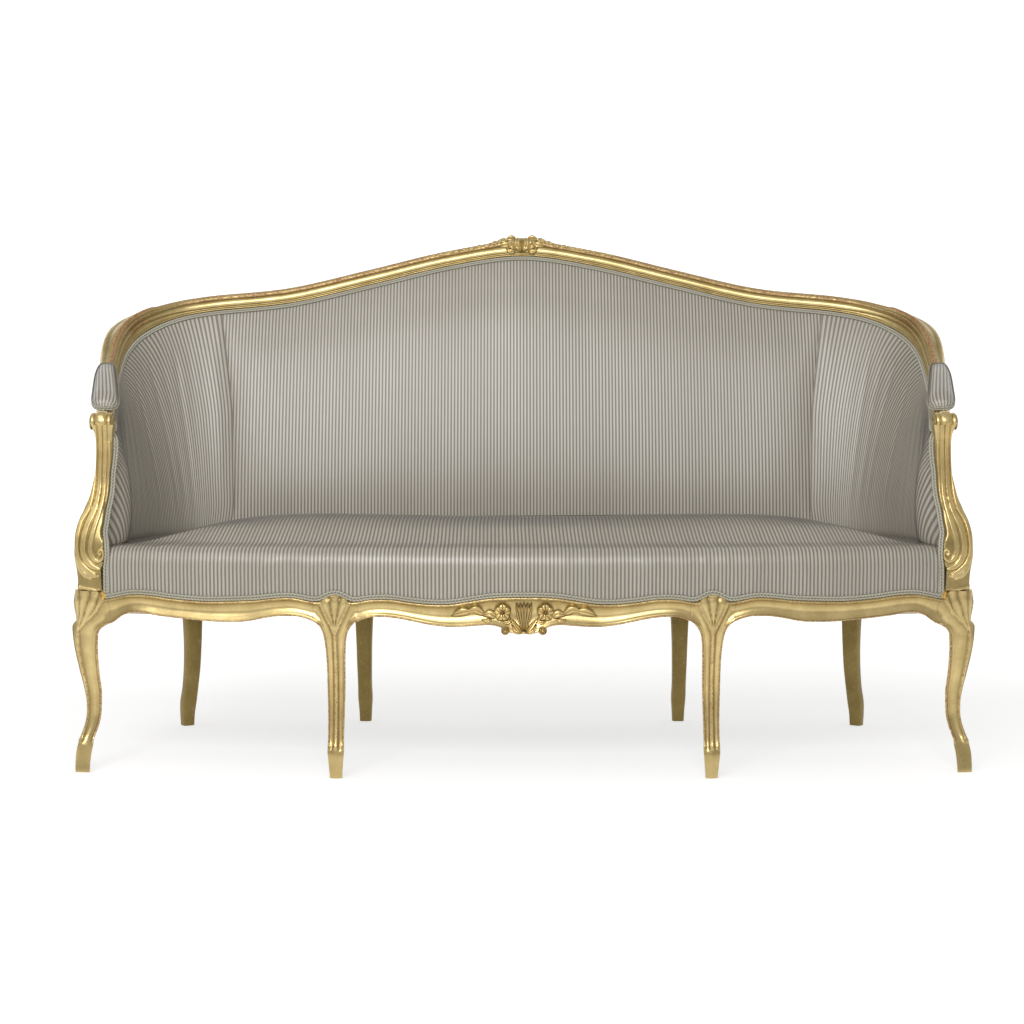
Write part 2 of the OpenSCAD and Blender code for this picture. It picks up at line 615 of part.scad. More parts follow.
// Top rail pieces, joined by tenons at the crest joints and at the arm joints
crest_joint_share = 0.43;
arm_joint_share = 0.8;
u_crest = crest_joint_share * top_len;
u_arm = arm_joint_share * top_len;
top_step = 42;
top_tenon_l = 22;
top_tenon_share = 0.4;
module top_body(u_from, u_to) {
  count = max(2, ceil((u_to - u_from) / top_step));
  skin([for (u = equal_steps(u_from, u_to, count)) top_ring(u, 1)]);
}

module top_tenon(u_from, u_to, grow) {
  size = top_tenon_share + 2 * grow / top_rail_h;
  skin([for (u = equal_steps(u_from, u_to, 2))
    let (c = top_at(u), out = top_out(u) * top_rail_t * size / 2, up = top_up(u) * top_rail_h * size / 2)
      [c - out - up, c + out - up, c + out + up, c - out + up]]);
}

module crest_rail() color(gilt_colour) difference() {
  union() {
    top_body(-u_crest, u_crest);
    for (side = [-1, 1]) on_side(side) top_tenon(u_crest - top_tenon_l / 2, u_crest + top_tenon_l, 0);
  }
  for (side = [-1, 1]) on_side(side) post_tenon(w_mid_post, tenon_gap);
}

module corner_rail(side) color(gilt_colour) on_side(side) difference() {
  union() {
    top_body(u_crest, u_arm);
    top_tenon(u_arm - top_tenon_l / 2, u_arm + top_tenon_l, 0);
  }
  top_tenon(u_crest - top_tenon_l, u_crest + top_tenon_l + tenon_gap, tenon_gap);
  post_tenon(w_corner_post, tenon_gap);
}

// The arm ends in a roll of three lobes with a small button at each end
scroll_centre = [top_points[top_last][0], top_points[top_last][1], scroll_z];
lobe_shares = [[0, 0.86], [0.05, 0.95], [0.17, 1], [0.28, 0.94], [0.335, 0.84], [0.4, 0.94], [0.5, 1],
  [0.6, 0.94], [0.665, 0.84], [0.72, 0.94], [0.83, 1], [0.95, 0.95], [1, 0.86]];
button_share = 0.3;
module scroll_roll(grow) {
  translate(scroll_centre - [scroll_w / 2, 0, 0])
    rotate([0, 90, 0])
      rotate_extrude($fn = 48)
        polygon(concat([[0, 0]],
          [for (p = lobe_shares) [p[1] * scroll_r + grow, p[0] * scroll_w]], [[0, scroll_w]]));
}

module arm_rail(side) color(gilt_colour) on_side(side) difference() {
  union() {
    top_body(u_arm, top_len);
    scroll_roll(0);
  }
  top_tenon(u_arm - top_tenon_l, u_arm + top_tenon_l + tenon_gap, tenon_gap);
  support_top_tenon(tenon_gap);
}

// Arm supports: rows of height share, share of the way from the leg to the scroll, width and depth shares
support_shares = [
  [0, 0, 0.86, 1.0], [0.09, 0, 0.9, 1.02], [0.19, -0.08, 0.97, 1.02], [0.3, -0.06, 1, 0.98],
  [0.41, 0.2, 0.9, 0.92], [0.5, 0.5, 0.76, 0.82], [0.58, 0.72, 0.66, 0.74], [0.67, 0.9, 0.56, 0.66],
  [0.765, 0.95, 0.54, 0.64], [0.87, 0.93, 0.6, 0.7], [0.94, 0.88, 0.72, 0.78], [1, 0.84, 0.86, 0.86]];
support_top_z = scroll_z - scroll_r * 0.55;
support_foot = seat_off(s_corner, -front_set);
support_base = support_foot - [leg_w * 0.06, leg_w * 0.16];
support_head = [scroll_centre[0], scroll_centre[1] - scroll_r];
support_turn = 6;
function support_z(share) = mix(deck_h, support_top_z, share);
support_rings = [for (row = support_shares)
  let (front = facing(support_turn), across = facing(support_turn + square_turn),
    x = mix(support_base[0], support_head[0], row[1]), y = mix(support_base[1], support_head[1], row[1]))
    [for (p = leg_section_shares)
      let (q = [x, y] + across * p[0] * row[2] * support_w - front * p[1] * row[3] * support_w)
        [q[0], q[1], support_z(row[0])]]];

support_tenon_w = support_w * 0.4;
support_tenon_l = deck_h - tenon_high - 4 * tenon_gap;
module support_tenon(grow) {
  c = support_foot + [-leg_w * 0.06, support_w * 0.36];
  size = support_tenon_w / 2 + grow;
  translate([c[0] - size, c[1] - size, deck_h - support_tenon_l - grow])
    cube([2 * size, 2 * size, support_tenon_l + grow + overrun]);
}

module support_top_tenon(grow) {
  size = scroll_w / 6 + grow;
  low = scroll_z - scroll_r * 1.3;
  translate([scroll_centre[0] - size, scroll_centre[1] - scroll_r * 0.4 - grow, low])
    cube([2 * size, scroll_r * 0.8 + 2 * grow, scroll_z - low + grow]);
}

module arm_support(side) color(gilt_colour) on_side(side) {
  difference() {
    skin(support_rings);
    scroll_roll(seat_gap);
    arm_clearance();
  }
  support_tenon(0);
  support_top_tenon(0);
}

module arm_clearance() {
  skin([for (u = equal_steps(top_len - 2 * scroll_r, top_len, 2)) top_ring(u, 1.02)]);
}

// Webbing straps pass over and under each other; both ends lie on the flat top of the rails
strap_end_in = rail_t * 0.66;
strap_limit_x = seat_points[rear_corner_point][0];
cross_count = floor(strap_limit_x * 2 / strap_pitch);
long_count = 4;
side_low_y = seat_points[front_corner_point + 2][1];
side_high_y = seat_points[rear_corner_point - 1][1];
cross_places = [for (i = [0 : cross_count - 1]) (i - (cross_count - 1) / 2) * strap_pitch];
long_places = equal_steps(side_low_y, side_high_y, long_count - 1);
strap_rise = web_t + seat_gap;
// Outline of one strap seen from its edge: it lies low at its ends and at every other crossing
function strap_outline(from, to, crossings, phase) =
  let (half = strap_w * 0.42,
    line = concat([[from, 0]],
      [for (i = [0 : len(crossings) - 1]) let (up = (i + phase) % 2 == 0 ? strap_rise : 0)
        each [[crossings[i] - half, up], [crossings[i] + half, up]]],
      [[to, 0]]))
    concat(line, [for (i = [len(line) - 1 : -1 : 0]) line[i] + [0, web_t]]);

module seat_webbing_cross() color(cloth_colour)
  for (i = [0 : cross_count - 1]) {
    x = cross_places[i];
    from = lookup(abs(x), front_y_of_x) + strap_end_in;
    to = lookup(abs(x), back_y_of_x) - strap_end_in;
    translate([x - strap_w / 2, 0, deck_h])
      rotate([90, 0, 90])
        linear_extrude(strap_w)
          polygon(strap_outline(from, to, long_places, i));
  }

module seat_webbing_long() color(cloth_colour)
  for (j = [0 : long_count - 1]) {
    y = long_places[j];
    reach = min(lookup(y - strap_w / 2, side_x_of_y), lookup(y + strap_w / 2, side_x_of_y)) - strap_end_in;
    translate([0, y + strap_w / 2, deck_h])
      rotate([90, 0, 0])
        linear_extrude(strap_w)
          polygon(strap_outline(-reach, reach, cross_places, j + 1));
  }

// Flat sheets that follow the inside of the frame
sheet_steps = 60;
module frame_sheet(inset, low, high) {
  translate([0, 0, low])
    linear_extrude(high - low)
      polygon([for (i = [0 : sheet_steps - 1]) seat_off(i * 2 * seat_len / sheet_steps, -inset)]);
}

hessian_z = deck_h + strap_rise + web_t + seat_gap;
stuffing_z = hessian_z + hessian_t + seat_gap;
module seat_hessian() color(cloth_colour) difference() {
  frame_sheet(strap_end_in, hessian_z, hessian_z + hessian_t);
  support_notches(layer_gap);
}

// The dust cover is cut out round the legs
dust_in = rail_t * 0.86;
dust_z = under_h - (1 - dust_in / rail_t) * (under_h - face_bottom) - seat_gap;
dust_cut = leg_w * 0.8;
module dust_cover() color("dimgray") difference() {
  frame_sheet(dust_in, dust_z - hessian_t, dust_z);
  for (side = [-1, 1]) on_side(side)
    for (s = [s_mid, s_corner, s_rear_corner, s_rear_mid])
      rail_box(s, -dust_cut, dust_cut, -rail_t * 1.3, 0, dust_z - 2 * overrun, dust_z + overrun);
}

// Room for the arm supports at the front corners of the seat
module support_notches(room) {
  x = support_foot[0] - leg_w * 0.06 - support_w * 0.54 - room;
  y = support_foot[1] + support_w + room;
  for (side = [-1, 1]) on_side(side)
    translate([x, -sofa_d / 2, deck_h - 3 * rebate_h])
      cube([half_w - x, y + sofa_d / 2, seat_rise + 6 * rebate_h]);
}

// Seat pad: rings drawn in from the frame line towards a short spine along the middle
// Rows: ring share, height share at the front, height share at the sides and back
seat_row_shares = [
  [1, 0.1, 0.1], [1.006, 0.28, 0.3], [1, 0.44, 0.48], [0.975, 0.56, 0.6], [0.93, 0.62, 0.63],
  [0.87, 0.65, 0.64], [0.78, 0.69, 0.65], [0.63, 0.79, 0.77], [0.45, 0.9, 0.89], [0.26, 0.975, 0.975],
  [0.1, 1, 1]];
spine_half_share = 0.5;
spine_y_share = 0.42;
s_front_end = s_corner - leg_w * 0.7;
seat_half_stops = concat(equal_steps(0, s_mid, 5), [for (i = [1 : 7]) mix(s_mid, s_front_end, i / 7)],
  equal_steps(s_corner, s_rear_corner, 6),
  [for (i = [1 : 5]) mix(s_rear_corner, seat_len, i / 5)]);
seat_stop_count = len(seat_half_stops) - 1;
seat_stops = concat(seat_half_stops,
  [for (i = [seat_stop_count - 1 : -1 : 1]) 2 * seat_len - seat_half_stops[i]]);
seat_front_out = -ledge_w + 3 * seat_gap + cover_t;
seat_side_out = -rail_t / 2 - pad_a - rail_t * 0.1;
spine_y = (spine_y_share - 0.5) * sofa_d;
function frontness(s) = lookup(seat_fold(s), [[s_front_end, 1], [s_corner, 0]]);
spine_reach = spine_half_share * half_w;
function spine_point(p) = [max(-spine_reach, min(spine_reach, p[0] * 0.8)), spine_y];
function seat_ring(row, shrink) =
  [for (s = seat_stops)
    let (f = frontness(s), p = seat_off(s, mix(seat_side_out, seat_front_out, f) - shrink),
      c = spine_point(p),
      q = c + (p - c) * row[0])
      [q[0], q[1], deck_h + seat_rise * mix(row[2], row[1], f) - shrink]];
function foot_ring(shrink, z_front, z_side) =
  [for (s = seat_stops)
    let (f = frontness(s), p = seat_off(s, mix(seat_side_out, seat_front_out, f) - shrink))
      [p[0], p[1], mix(z_side, show_top(s) + z_front, f)]];

module seat_stuffing() color(pad_colour) difference() {
  skin(concat(
    [[for (p = seat_ring([1, 0, 0], cover_t + layer_gap)) [p[0], p[1], stuffing_z]]],
    [for (row = seat_row_shares) seat_ring(row, cover_t + layer_gap)]));
  support_notches(layer_gap);
}

cover_foot_z = stuffing_z + seat_gap;
cover_lift = gimp_w * 0.3;
module seat_cover() color(stripe_colour) difference() {
  skin(concat(
    [for (i = [len(seat_row_shares) - 1 : -1 : 0]) seat_ring(seat_row_shares[i], cover_t)],
    [foot_ring(cover_t, cover_lift, cover_foot_z), foot_ring(0, cover_lift, cover_foot_z)],
    [for (row = seat_row_shares) seat_ring(row, 0)]));
  support_notches(layer_gap);
}

// Back and wing pads: rows of height share from the foot and fullness share, from the foot up
pad_row_shares = [
  [0, 0.5], [0.03, 0.82], [0.1, 0.97], [0.25, 1], [0.45, 0.9], [0.68, 0.68], [0.86, 0.42], [0.96, 0.16],
  [1, 0]];
pad_foot_share = 0.665;
pad_foot_z = deck_h + seat_rise * pad_foot_share;
pad_edge_a = 0.44 * top_rail_t;
pad_top_gap = 2 * layer_gap;
seam_gap_w = w_of_length(layer_gap);
// Fullness along the back: the wings are thinner and round off behind the arm supports
function pad_t_at(w) = lookup(abs(w), [
  [0, back_pad_t], [seam_share * 0.8, back_pad_t], [seam_share, 0.84 * back_pad_t],
  [seam_share * 1.25, mix(wing_pad_t, back_pad_t, 0.4)], [0.8, wing_pad_t], [0.93, 0.9 * wing_pad_t],
  [pad_end_share, 0.55 * wing_pad_t]]);
function pad_height(w, share) = mix(v_of_z(w, pad_foot_z), 1 - pad_top_gap / height_at(w), share);
function pad_point(w, row, less) =
  back_point(w, pad_height(w, row[0]), mix(pad_edge_a, post_b + pad_t_at(w), row[1]) - less);
stuffing_less = cover_t + layer_gap;
function stuffing_ring(w) = concat(
  [back_point(w, pad_height(w, 0), pad_a), back_point(w, pad_height(w, 1), pad_a)],
  [for (i = [len(pad_row_shares) - 1 : -1 : 0]) pad_point(w, pad_row_shares[i], stuffing_less)]);
function cover_ring(w) = concat(
  [for (row = pad_row_shares) pad_point(w, row, cover_t)],
  [for (i = [len(pad_row_shares) - 1 : -1 : 0]) pad_point(w, pad_row_shares[i], 0)]);
wing_from_w = seam_share + seam_gap_w;

module back_stuffing() color(pad_colour)
  skin([for (w = stations(-seam_share, seam_share)) stuffing_ring(w)]);
module back_cover() color(stripe_colour)
  skin([for (w = stations(-seam_share, seam_share)) cover_ring(w)]);
module wing_stuffing(side) color(pad_colour) on_side(side)
  skin([for (w = stations(wing_from_w, pad_end_share)) stuffing_ring(w)]);
module wing_cover(side) color(stripe_colour) on_side(side)
  skin([for (w = stations(wing_from_w, pad_end_share)) cover_ring(w)]);

// Layers behind the pads
sheet_foot_share = 0.06;
sheet_top_share = 0.99;
module back_hessian() color(cloth_colour)
  panel(-seam_share, seam_share, sheet_foot_share, sheet_top_share, back_hess_a, back_hess_b);
wing_hess_a = post_b + 1.5 * layer_gap;
module wing_hessian(side) color(cloth_colour) on_side(side)
  panel(wing_from_w, pad_end_share, sheet_foot_share, sheet_top_share, wing_hess_a, wing_hess_a + hessian_t);
back_strap_count = 9;
back_level_shares = [0.3, 0.55, 0.8];
strap_half = w_of_length(strap_w / 2);
module back_webbing() color(cloth_colour) {
  for (w = equal_steps(-seam_share * 0.92, seam_share * 0.92, back_strap_count - 1))
    panel(w - strap_half, w + strap_half, sheet_foot_share, sheet_top_share, strap_a, strap_b);
  for (v = back_level_shares)
    panel(-seam_share, seam_share, v, v + strap_w / (crest_z - deck_h), level_a, level_b);
}

outer_foot_share = 0.012;
module outer_back_cover() color(stripe_colour)
  panel(-seam_share, seam_share, outer_foot_share, sheet_top_share, outer_a, outer_a + cover_t);
outer_wing_a = outer_a - 1.5 * layer_gap;
module outer_wing_cover(side) color(stripe_colour) on_side(side)
  panel(wing_from_w, pad_end_share, outer_foot_share, sheet_top_share, outer_wing_a, outer_wing_a + cover_t);

// Arm pads sit on the arm rails between the corner rail and the scroll
pad_from_share = 0.775;
pad_to_share = 0.955;
arm_pad_steps = 12;
arm_section_shares = [
  [-0.5, 0], [0.5, 0], [0.54, 0.3], [0.44, 0.75], [0.2, 0.98], [-0.2, 0.98], [-0.44, 0.75], [-0.54, 0.3]];
arm_rise_shares = natural_line([
  [0, 0.2], [0.08, 0.62], [0.25, 0.9], [0.5, 1], [0.8, 1], [0.95, 0.72], [1, 0.3]]);
arm_width_shares = natural_line([[0, 0.74], [0.1, 0.86], [0.4, 1], [0.8, 1.04], [0.95, 0.94], [1, 0.8]]);
arm_pad_up = top_rail_h / 2 + 1.5 * layer_gap;
function arm_pad_u(share) = mix(pad_from_share, pad_to_share, share) * top_len;
function arm_pad_wide(share) = arm_pad_w * lookup(share, arm_width_shares);
function arm_pad_ring(share) =
  let (u = arm_pad_u(share), c = top_at(u), out = top_out(u), up = top_up(u),
    high = arm_pad_t * lookup(share, arm_rise_shares), wide = arm_pad_wide(share))
    [for (p = arm_section_shares) c + out * p[0] * wide + up * (arm_pad_up + p[1] * high)];
module arm_pad(side) color(stripe_colour) on_side(side)
  skin([for (share = equal_steps(0, 1, arm_pad_steps)) arm_pad_ring(share)]);

// Gimp braids
seat_gimp_step = 30;
gimp_in = seat_front_out + layer_gap;
gimp_reach = corner_from + corner_head_w * 0.3;
function seat_gimp_ring(s) =
  let (c = seat_at(s), n = seat_out(s), low = show_top(s) + 1.6 * layer_gap, high = low + gimp_w)
    [for (p = [[gimp_in, low], [gimp_in, high], [gimp_in + gimp_t, high], [gimp_in + gimp_t, low]])
      [c[0] + n[0] * p[0], c[1] + n[1] * p[0], p[1]]];
seat_gimp_count = ceil(2 * gimp_reach / seat_gimp_step);
module seat_gimp() color(braid_colour)
  skin([for (s = equal_steps(-gimp_reach, gimp_reach, seat_gimp_count)) seat_gimp_ring(s)]);

gimp_row = len(pad_row_shares) - 1;
// The braid lies on the pad just under the top rail
function back_gimp_ring(w) =
  let (top = pad_point(w, pad_row_shares[gimp_row], 0),
    below = pad_point(w, pad_row_shares[gimp_row - 1], 0),
    down = unit(below - top), out = unit(cross(down, cross(on_grid(w, inward_tables), down))),
    near = top + out * layer_gap + down * layer_gap, far = near + out * gimp_t)
    [near + down * gimp_w, near, far, far + down * gimp_w];
module back_gimp() color(braid_colour)
  skin([for (w = stations(-pad_end_share, pad_end_share)) back_gimp_ring(w)]);

arm_gimp_t = 1.6;
// One braid along each edge of an arm pad; edge is 1 outside and -1 inside
function arm_gimp_ring(share, edge) =
  let (u = arm_pad_u(share), c = top_at(u) + top_up(u) * arm_pad_up, out = top_out(u), up = top_up(u),
    near = 0.54 * arm_pad_wide(share) + layer_gap, mid = edge * (near + arm_gimp_t / 2),
    low = mid - arm_gimp_t / 2, high = mid + arm_gimp_t / 2)
    [c + out * low, c + out * high, c + out * high + up * gimp_w, c + out * low + up * gimp_w];
module arm_pad_gimp() color(braid_colour) for (side = [-1, 1]) on_side(side)
  for (edge = [-1, 1])
    skin([for (share = equal_steps(0, 1, arm_pad_steps)) arm_gimp_ring(share, edge)]);

outer_gimp_t = 1.6;
module outer_gimp() color(braid_colour)
  panel(-pad_end_share, pad_end_share, sheet_top_share - gimp_w / (crest_z - deck_h), sheet_top_share,
    outer_wing_a - layer_gap - outer_gimp_t, outer_wing_a - layer_gap);

front_mid_leg(-1);  // front_mid_leg_left
front_mid_leg(1);  // front_mid_leg_right
front_corner_leg(-1);  // front_corner_leg_left
front_corner_leg(1);  // front_corner_leg_right
rear_mid_post(-1);  // rear_mid_post_left
rear_mid_post(1);  // rear_mid_post_right
rear_corner_post(-1);  // rear_corner_post_left
rear_corner_post(1);  // rear_corner_post_right
front_rail(-1);  // front_rail_left
front_rail_centre();
front_rail(1);  // front_rail_right
side_rail(-1);  // side_rail_left
side_rail(1);  // side_rail_right
rear_rail(-1);  // rear_rail_left
rear_rail_centre();
rear_rail(1);  // rear_rail_right
seat_stretcher(-1);  // seat_stretcher_left
seat_stretcher(1);  // seat_stretcher_right
corner_blocks();
frame_pegs();
crest_rail();
corner_rail(-1);  // corner_rail_left
corner_rail(1);  // corner_rail_right
arm_rail(-1);  // arm_rail_left
arm_rail(1);  // arm_rail_right
arm_support(-1);  // arm_support_left
arm_support(1);  // arm_support_right
lower_back_rail(-1);  // lower_back_rail_left
lower_back_rail_centre();
lower_back_rail(1);  // lower_back_rail_right
lower_wing_rail(-1);  // lower_wing_rail_left
lower_wing_rail(1);  // lower_wing_rail_right
seat_webbing_cross();
seat_webbing_long();
seat_hessian();
seat_stuffing();
seat_cover();
dust_cover();
back_webbing();
back_hessian();
back_stuffing();
back_cover();
outer_back_cover();
wing_hessian(-1);  // wing_hessian_left
wing_hessian(1);  // wing_hessian_right
wing_stuffing(-1);  // wing_stuffing_left
wing_stuffing(1);  // wing_stuffing_right
wing_cover(-1);  // wing_cover_left
wing_cover(1);  // wing_cover_right
outer_wing_cover(-1);  // outer_wing_cover_left
outer_wing_cover(1);  // outer_wing_cover_right
arm_pad(-1);  // arm_pad_left
arm_pad(1);  // arm_pad_right
seat_gimp();
back_gimp();
arm_pad_gimp();
outer_gimp();
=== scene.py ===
import bpy
import bmesh
import json
import math
import numpy as np
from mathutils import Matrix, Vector


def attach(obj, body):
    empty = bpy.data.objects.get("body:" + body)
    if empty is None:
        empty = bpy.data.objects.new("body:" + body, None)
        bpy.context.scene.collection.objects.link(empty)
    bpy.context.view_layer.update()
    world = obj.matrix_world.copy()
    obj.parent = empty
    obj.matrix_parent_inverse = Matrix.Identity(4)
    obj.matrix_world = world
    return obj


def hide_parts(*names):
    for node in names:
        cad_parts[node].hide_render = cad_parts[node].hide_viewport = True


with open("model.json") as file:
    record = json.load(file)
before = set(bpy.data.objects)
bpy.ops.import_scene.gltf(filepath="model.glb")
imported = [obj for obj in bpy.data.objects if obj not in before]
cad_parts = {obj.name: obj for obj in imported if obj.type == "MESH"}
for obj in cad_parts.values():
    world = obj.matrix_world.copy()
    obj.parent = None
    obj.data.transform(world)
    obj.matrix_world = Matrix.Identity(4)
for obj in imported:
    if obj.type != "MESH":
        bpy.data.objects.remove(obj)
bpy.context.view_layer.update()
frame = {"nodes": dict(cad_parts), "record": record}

# Sizes in metres, the same as in the source of the frame
SOFA_W, SOFA_D, SOFA_H = 1.775, 0.790, 1.090
DECK_H, RAIL_T, RAIL_BACK_H = 0.352, 0.038, 0.046
LEDGE_W = 0.011
MID_LEG_X = 0.352
MID_HEAD_W, CORNER_HEAD_W, REAR_HEAD_W = 0.084, 0.045, 0.070
TOP_RAIL_T, TOP_RAIL_H, CREST_RISE = 0.036, 0.034, 0.007
SCROLL_Z, POST_T = 0.666, 0.020
SEAT_RISE, COVER_T, GIMP_W = 0.126, 0.0015, 0.010
LAYER_GAP, JOINT_GAP = 0.0008, 0.0002
UNDER_H = DECK_H - RAIL_BACK_H
HALF_W = SOFA_W / 2
SPAN_STEPS, GRID_STATIONS, SEED = 24, 201, 7

# Shares of the width and the depth, and of the height from the scroll to the crest
SEAT_LINE_SHARES = [
    (0, 0.006), (0.199, 0.014), (0.397, 0.028), (0.566, 0.048), (0.727, 0.073), (0.870, 0.104),
    (0.936, 0.129), (0.9615, 0.171), (0.967, 0.253), (0.960, 0.405), (0.938, 0.557), (0.896, 0.696),
    (0.832, 0.785), (0.721, 0.829), (0.563, 0.848), (0.397, 0.858), (0.198, 0.865), (0, 0.867)]
TOP_LINE_SHARES = [
    (0, 0.968, 1), (0.184, 0.966, 0.945), (0.389, 0.954, 0.835), (0.59, 0.934, 0.73),
    (0.79, 0.901, 0.6775), (0.89, 0.858, 0.625), (0.9555, 0.785, 0.54), (0.979, 0.696, 0.4425),
    (0.978, 0.595, 0.3225), (0.9645, 0.481, 0.2), (0.944, 0.373, 0.09), (0.924, 0.272, 0.005),
    (0.915, 0.2, -0.01)]


def unit(v):
    return v / np.maximum(np.linalg.norm(v, axis=-1, keepdims=True), 1e-12)


def mix(a, b, share):
    return a + (b - a) * share


def ramp(x, low, high):
    """0 below low, 1 above high, and smooth between them."""
    t = np.clip((np.asarray(x, float) - low) / (high - low), 0, 1)
    return t * t * (3 - 2 * t)


def spline(points, first=None, last=None, steps=12):
    """A smooth line through the points; first and last lead into it and out of it."""
    p = np.array(points, float)
    first = 2 * p[0] - p[1] if first is None else np.array(first, float)
    last = 2 * p[-1] - p[-2] if last is None else np.array(last, float)
    q = np.vstack([first, p, last])
    t = (np.arange(steps) / steps)[:, None]
    spans = [(2 * b + (c - a) * t + (2 * a - 5 * b + 4 * c - d) * t * t
              + (3 * b - a - 3 * c + d) * t ** 3) / 2
             for a, b, c, d in zip(q[:-3], q[1:-2], q[2:-1], q[3:])]
    return np.vstack(spans + [q[-2:-1]])


def curve(rows):
    """A smooth function through rows of (place, value)."""
    line = spline(rows)
    return lambda x: np.interp(x, line[:, 0], line[:, 1])


def lengths(line):
    return np.concatenate([[0], np.cumsum(np.linalg.norm(np.diff(line, axis=0), axis=1))])


def flip_x(p):
    return np.array(p, float) * ([-1] + [1] * (len(p) - 1))


# Face line of the seat frame in plan, from the front centre round the right side to the back centre
seat_points = np.array([(a * HALF_W, (b - 0.5) * SOFA_D) for a, b in SEAT_LINE_SHARES])
seat_line = spline(seat_points, flip_x(seat_points[1]), flip_x(seat_points[-2]), SPAN_STEPS)
seat_s = lengths(seat_line)
SEAT_LEN = seat_s[-1]
LOOK = SEAT_LEN / 150  # how far to each side a direction is taken over


def seat_at(s):
    s = np.asarray(s, float)
    over = s > SEAT_LEN
    side = np.where((s < 0) | over, -1.0, 1.0)
    place = np.abs(np.where(over, 2 * SEAT_LEN - s, s))
    return np.stack([side * np.interp(place, seat_s, seat_line[:, 0]),
                     np.interp(place, seat_s, seat_line[:, 1])], -1)


def seat_out(s):
    t = unit(seat_at(np.asarray(s) + LOOK) - seat_at(np.asarray(s) - LOOK))
    return np.stack([t[..., 1], -t[..., 0]], -1)


def on_seat(s, depth, z):
    """A point behind the face line of the seat frame by a depth, at a height."""
    s, depth, z = np.broadcast_arrays(np.asarray(s, float), depth, z)
    p = seat_at(s) - seat_out(s) * depth[..., None]
    return np.concatenate([p, z[..., None]], -1)


corner_row, rear_corner_row = 6 * SPAN_STEPS, 12 * SPAN_STEPS
S_MID = np.interp(MID_LEG_X, seat_line[:corner_row + 1, 0], seat_s[:corner_row + 1])
S_CORNER, S_REAR_CORNER = seat_s[corner_row], seat_s[rear_corner_row]
S_REAR_MID = np.interp(MID_LEG_X, seat_line[rear_corner_row:][::-1, 0],
                       seat_s[rear_corner_row:][::-1])

# Middle line of the top rail and the arm, from the centre of the crest to the scroll on the right
CREST_Z = SOFA_H - CREST_RISE - TOP_RAIL_H / 2
top_points = np.array([(a * HALF_W, (b - 0.5) * SOFA_D, mix(SCROLL_Z, CREST_Z, c))
                       for a, b, c in TOP_LINE_SHARES])
top_line = spline(top_points, flip_x(top_points[1]), None, SPAN_STEPS)
top_s = lengths(top_line)
TOP_LEN = top_s[-1]


def top_at(u):
    u = np.asarray(u, float)
    place = np.abs(u)
    p = np.stack([np.interp(place, top_s, top_line[:, k]) for k in range(3)], -1)
    p[..., 0] *= np.where(u < 0, -1, 1)
    return p


def top_frame(u):
    """Middle, outward and upward directions of the top rail."""
    u = np.asarray(u, float)
    t = unit(top_at(u + LOOK) - top_at(u - LOOK))
    out = unit(np.stack([-t[..., 1], t[..., 0], np.zeros_like(t[..., 0])], -1))
    return top_at(u), out, np.cross(t, out)


# Stations round the back: w runs from 0 at the back centre to 1 behind the right arm support
S_ARM = S_CORNER + CORNER_HEAD_W
BACK_SPAN = SEAT_LEN - S_ARM
SCROLL_CLEAR = 0.022
TOP_REACH = TOP_LEN - SCROLL_CLEAR
SEAM_W, PAD_END_W = 0.49, 0.985
w_grid = np.linspace(0, 1, GRID_STATIONS)
base_line = on_seat(SEAT_LEN - w_grid * BACK_SPAN, RAIL_T / 2, DECK_H)
roof_mid, roof_out, roof_up = top_frame(w_grid * TOP_REACH)
roof_line = roof_mid - roof_up * TOP_RAIL_H / 2
base_in = np.pad(-seat_out(SEAT_LEN - w_grid * BACK_SPAN), ((0, 0), (0, 1)))
inward_line = unit(base_in - roof_out)


def on_grid(w, line):
    w = np.asarray(w, float)
    p = np.stack([np.interp(np.abs(w), w_grid, line[:, k]) for k in range(3)], -1)
    p[..., 0] *= np.where(w < 0, -1, 1)
    return p


def back_point(w, v, a):
    """A point of the back at station w, v up from the seat rail to the top rail, and in by a length."""
    w, v, a = np.broadcast_arrays(np.asarray(w, float), v, a)
    outside = mix(on_grid(w, base_line), on_grid(w, roof_line), v[..., None])
    return outside + on_grid(w, inward_line) * a[..., None]


def v_of_z(w, z):
    return (z - DECK_H) / (on_grid(w, roof_line)[..., 2] - DECK_H)


def height_at(w):
    return np.linalg.norm(on_grid(w, roof_line) - on_grid(w, base_line), axis=-1)


# Meshes
def grid_faces(rows, count, around=False, along=False):
    """Quads of a grid of rows by count points; around and along join its ends."""
    i = np.arange(rows if along else rows - 1)
    j = np.arange(count if around else count - 1)
    i, j = [k.ravel() for k in np.meshgrid(i, j, indexing="ij")]
    i2, j2 = (i + 1) % rows, (j + 1) % count
    return np.stack([i * count + j, i * count + j2, i2 * count + j2, i2 * count + j], -1)


def skin(rings, caps=True, along=False):
    """Points and faces of a closed solid through a row of closed rings."""
    rings = np.asarray(rings, float)
    rows, count = rings.shape[:2]
    faces = [tuple(f) for f in grid_faces(rows, count, True, along)]
    if caps and not along:
        faces.append(tuple(range(count))[::-1])
        faces.append(tuple((rows - 1) * count + k for k in range(count)))
    return rings.reshape(-1, 3), faces


def joined(parts):
    """Several (points, faces, marks) as one; marks are values per point by name."""
    points, faces, marks, start = [], [], {}, 0
    names = sorted({k for p in parts for k in (p[2] if len(p) > 2 else {})})
    for part in parts:
        pts = np.asarray(part[0], float)
        points.append(pts)
        faces += [tuple(int(k) + start for k in f) for f in part[1]]
        for name in names:
            given = part[2] if len(part) > 2 else {}
            marks.setdefault(name, []).append(np.broadcast_to(given.get(name, 0.0), (len(pts),)))
        start += len(pts)
    return np.vstack(points), faces, {k: np.concatenate(v) for k, v in marks.items()}


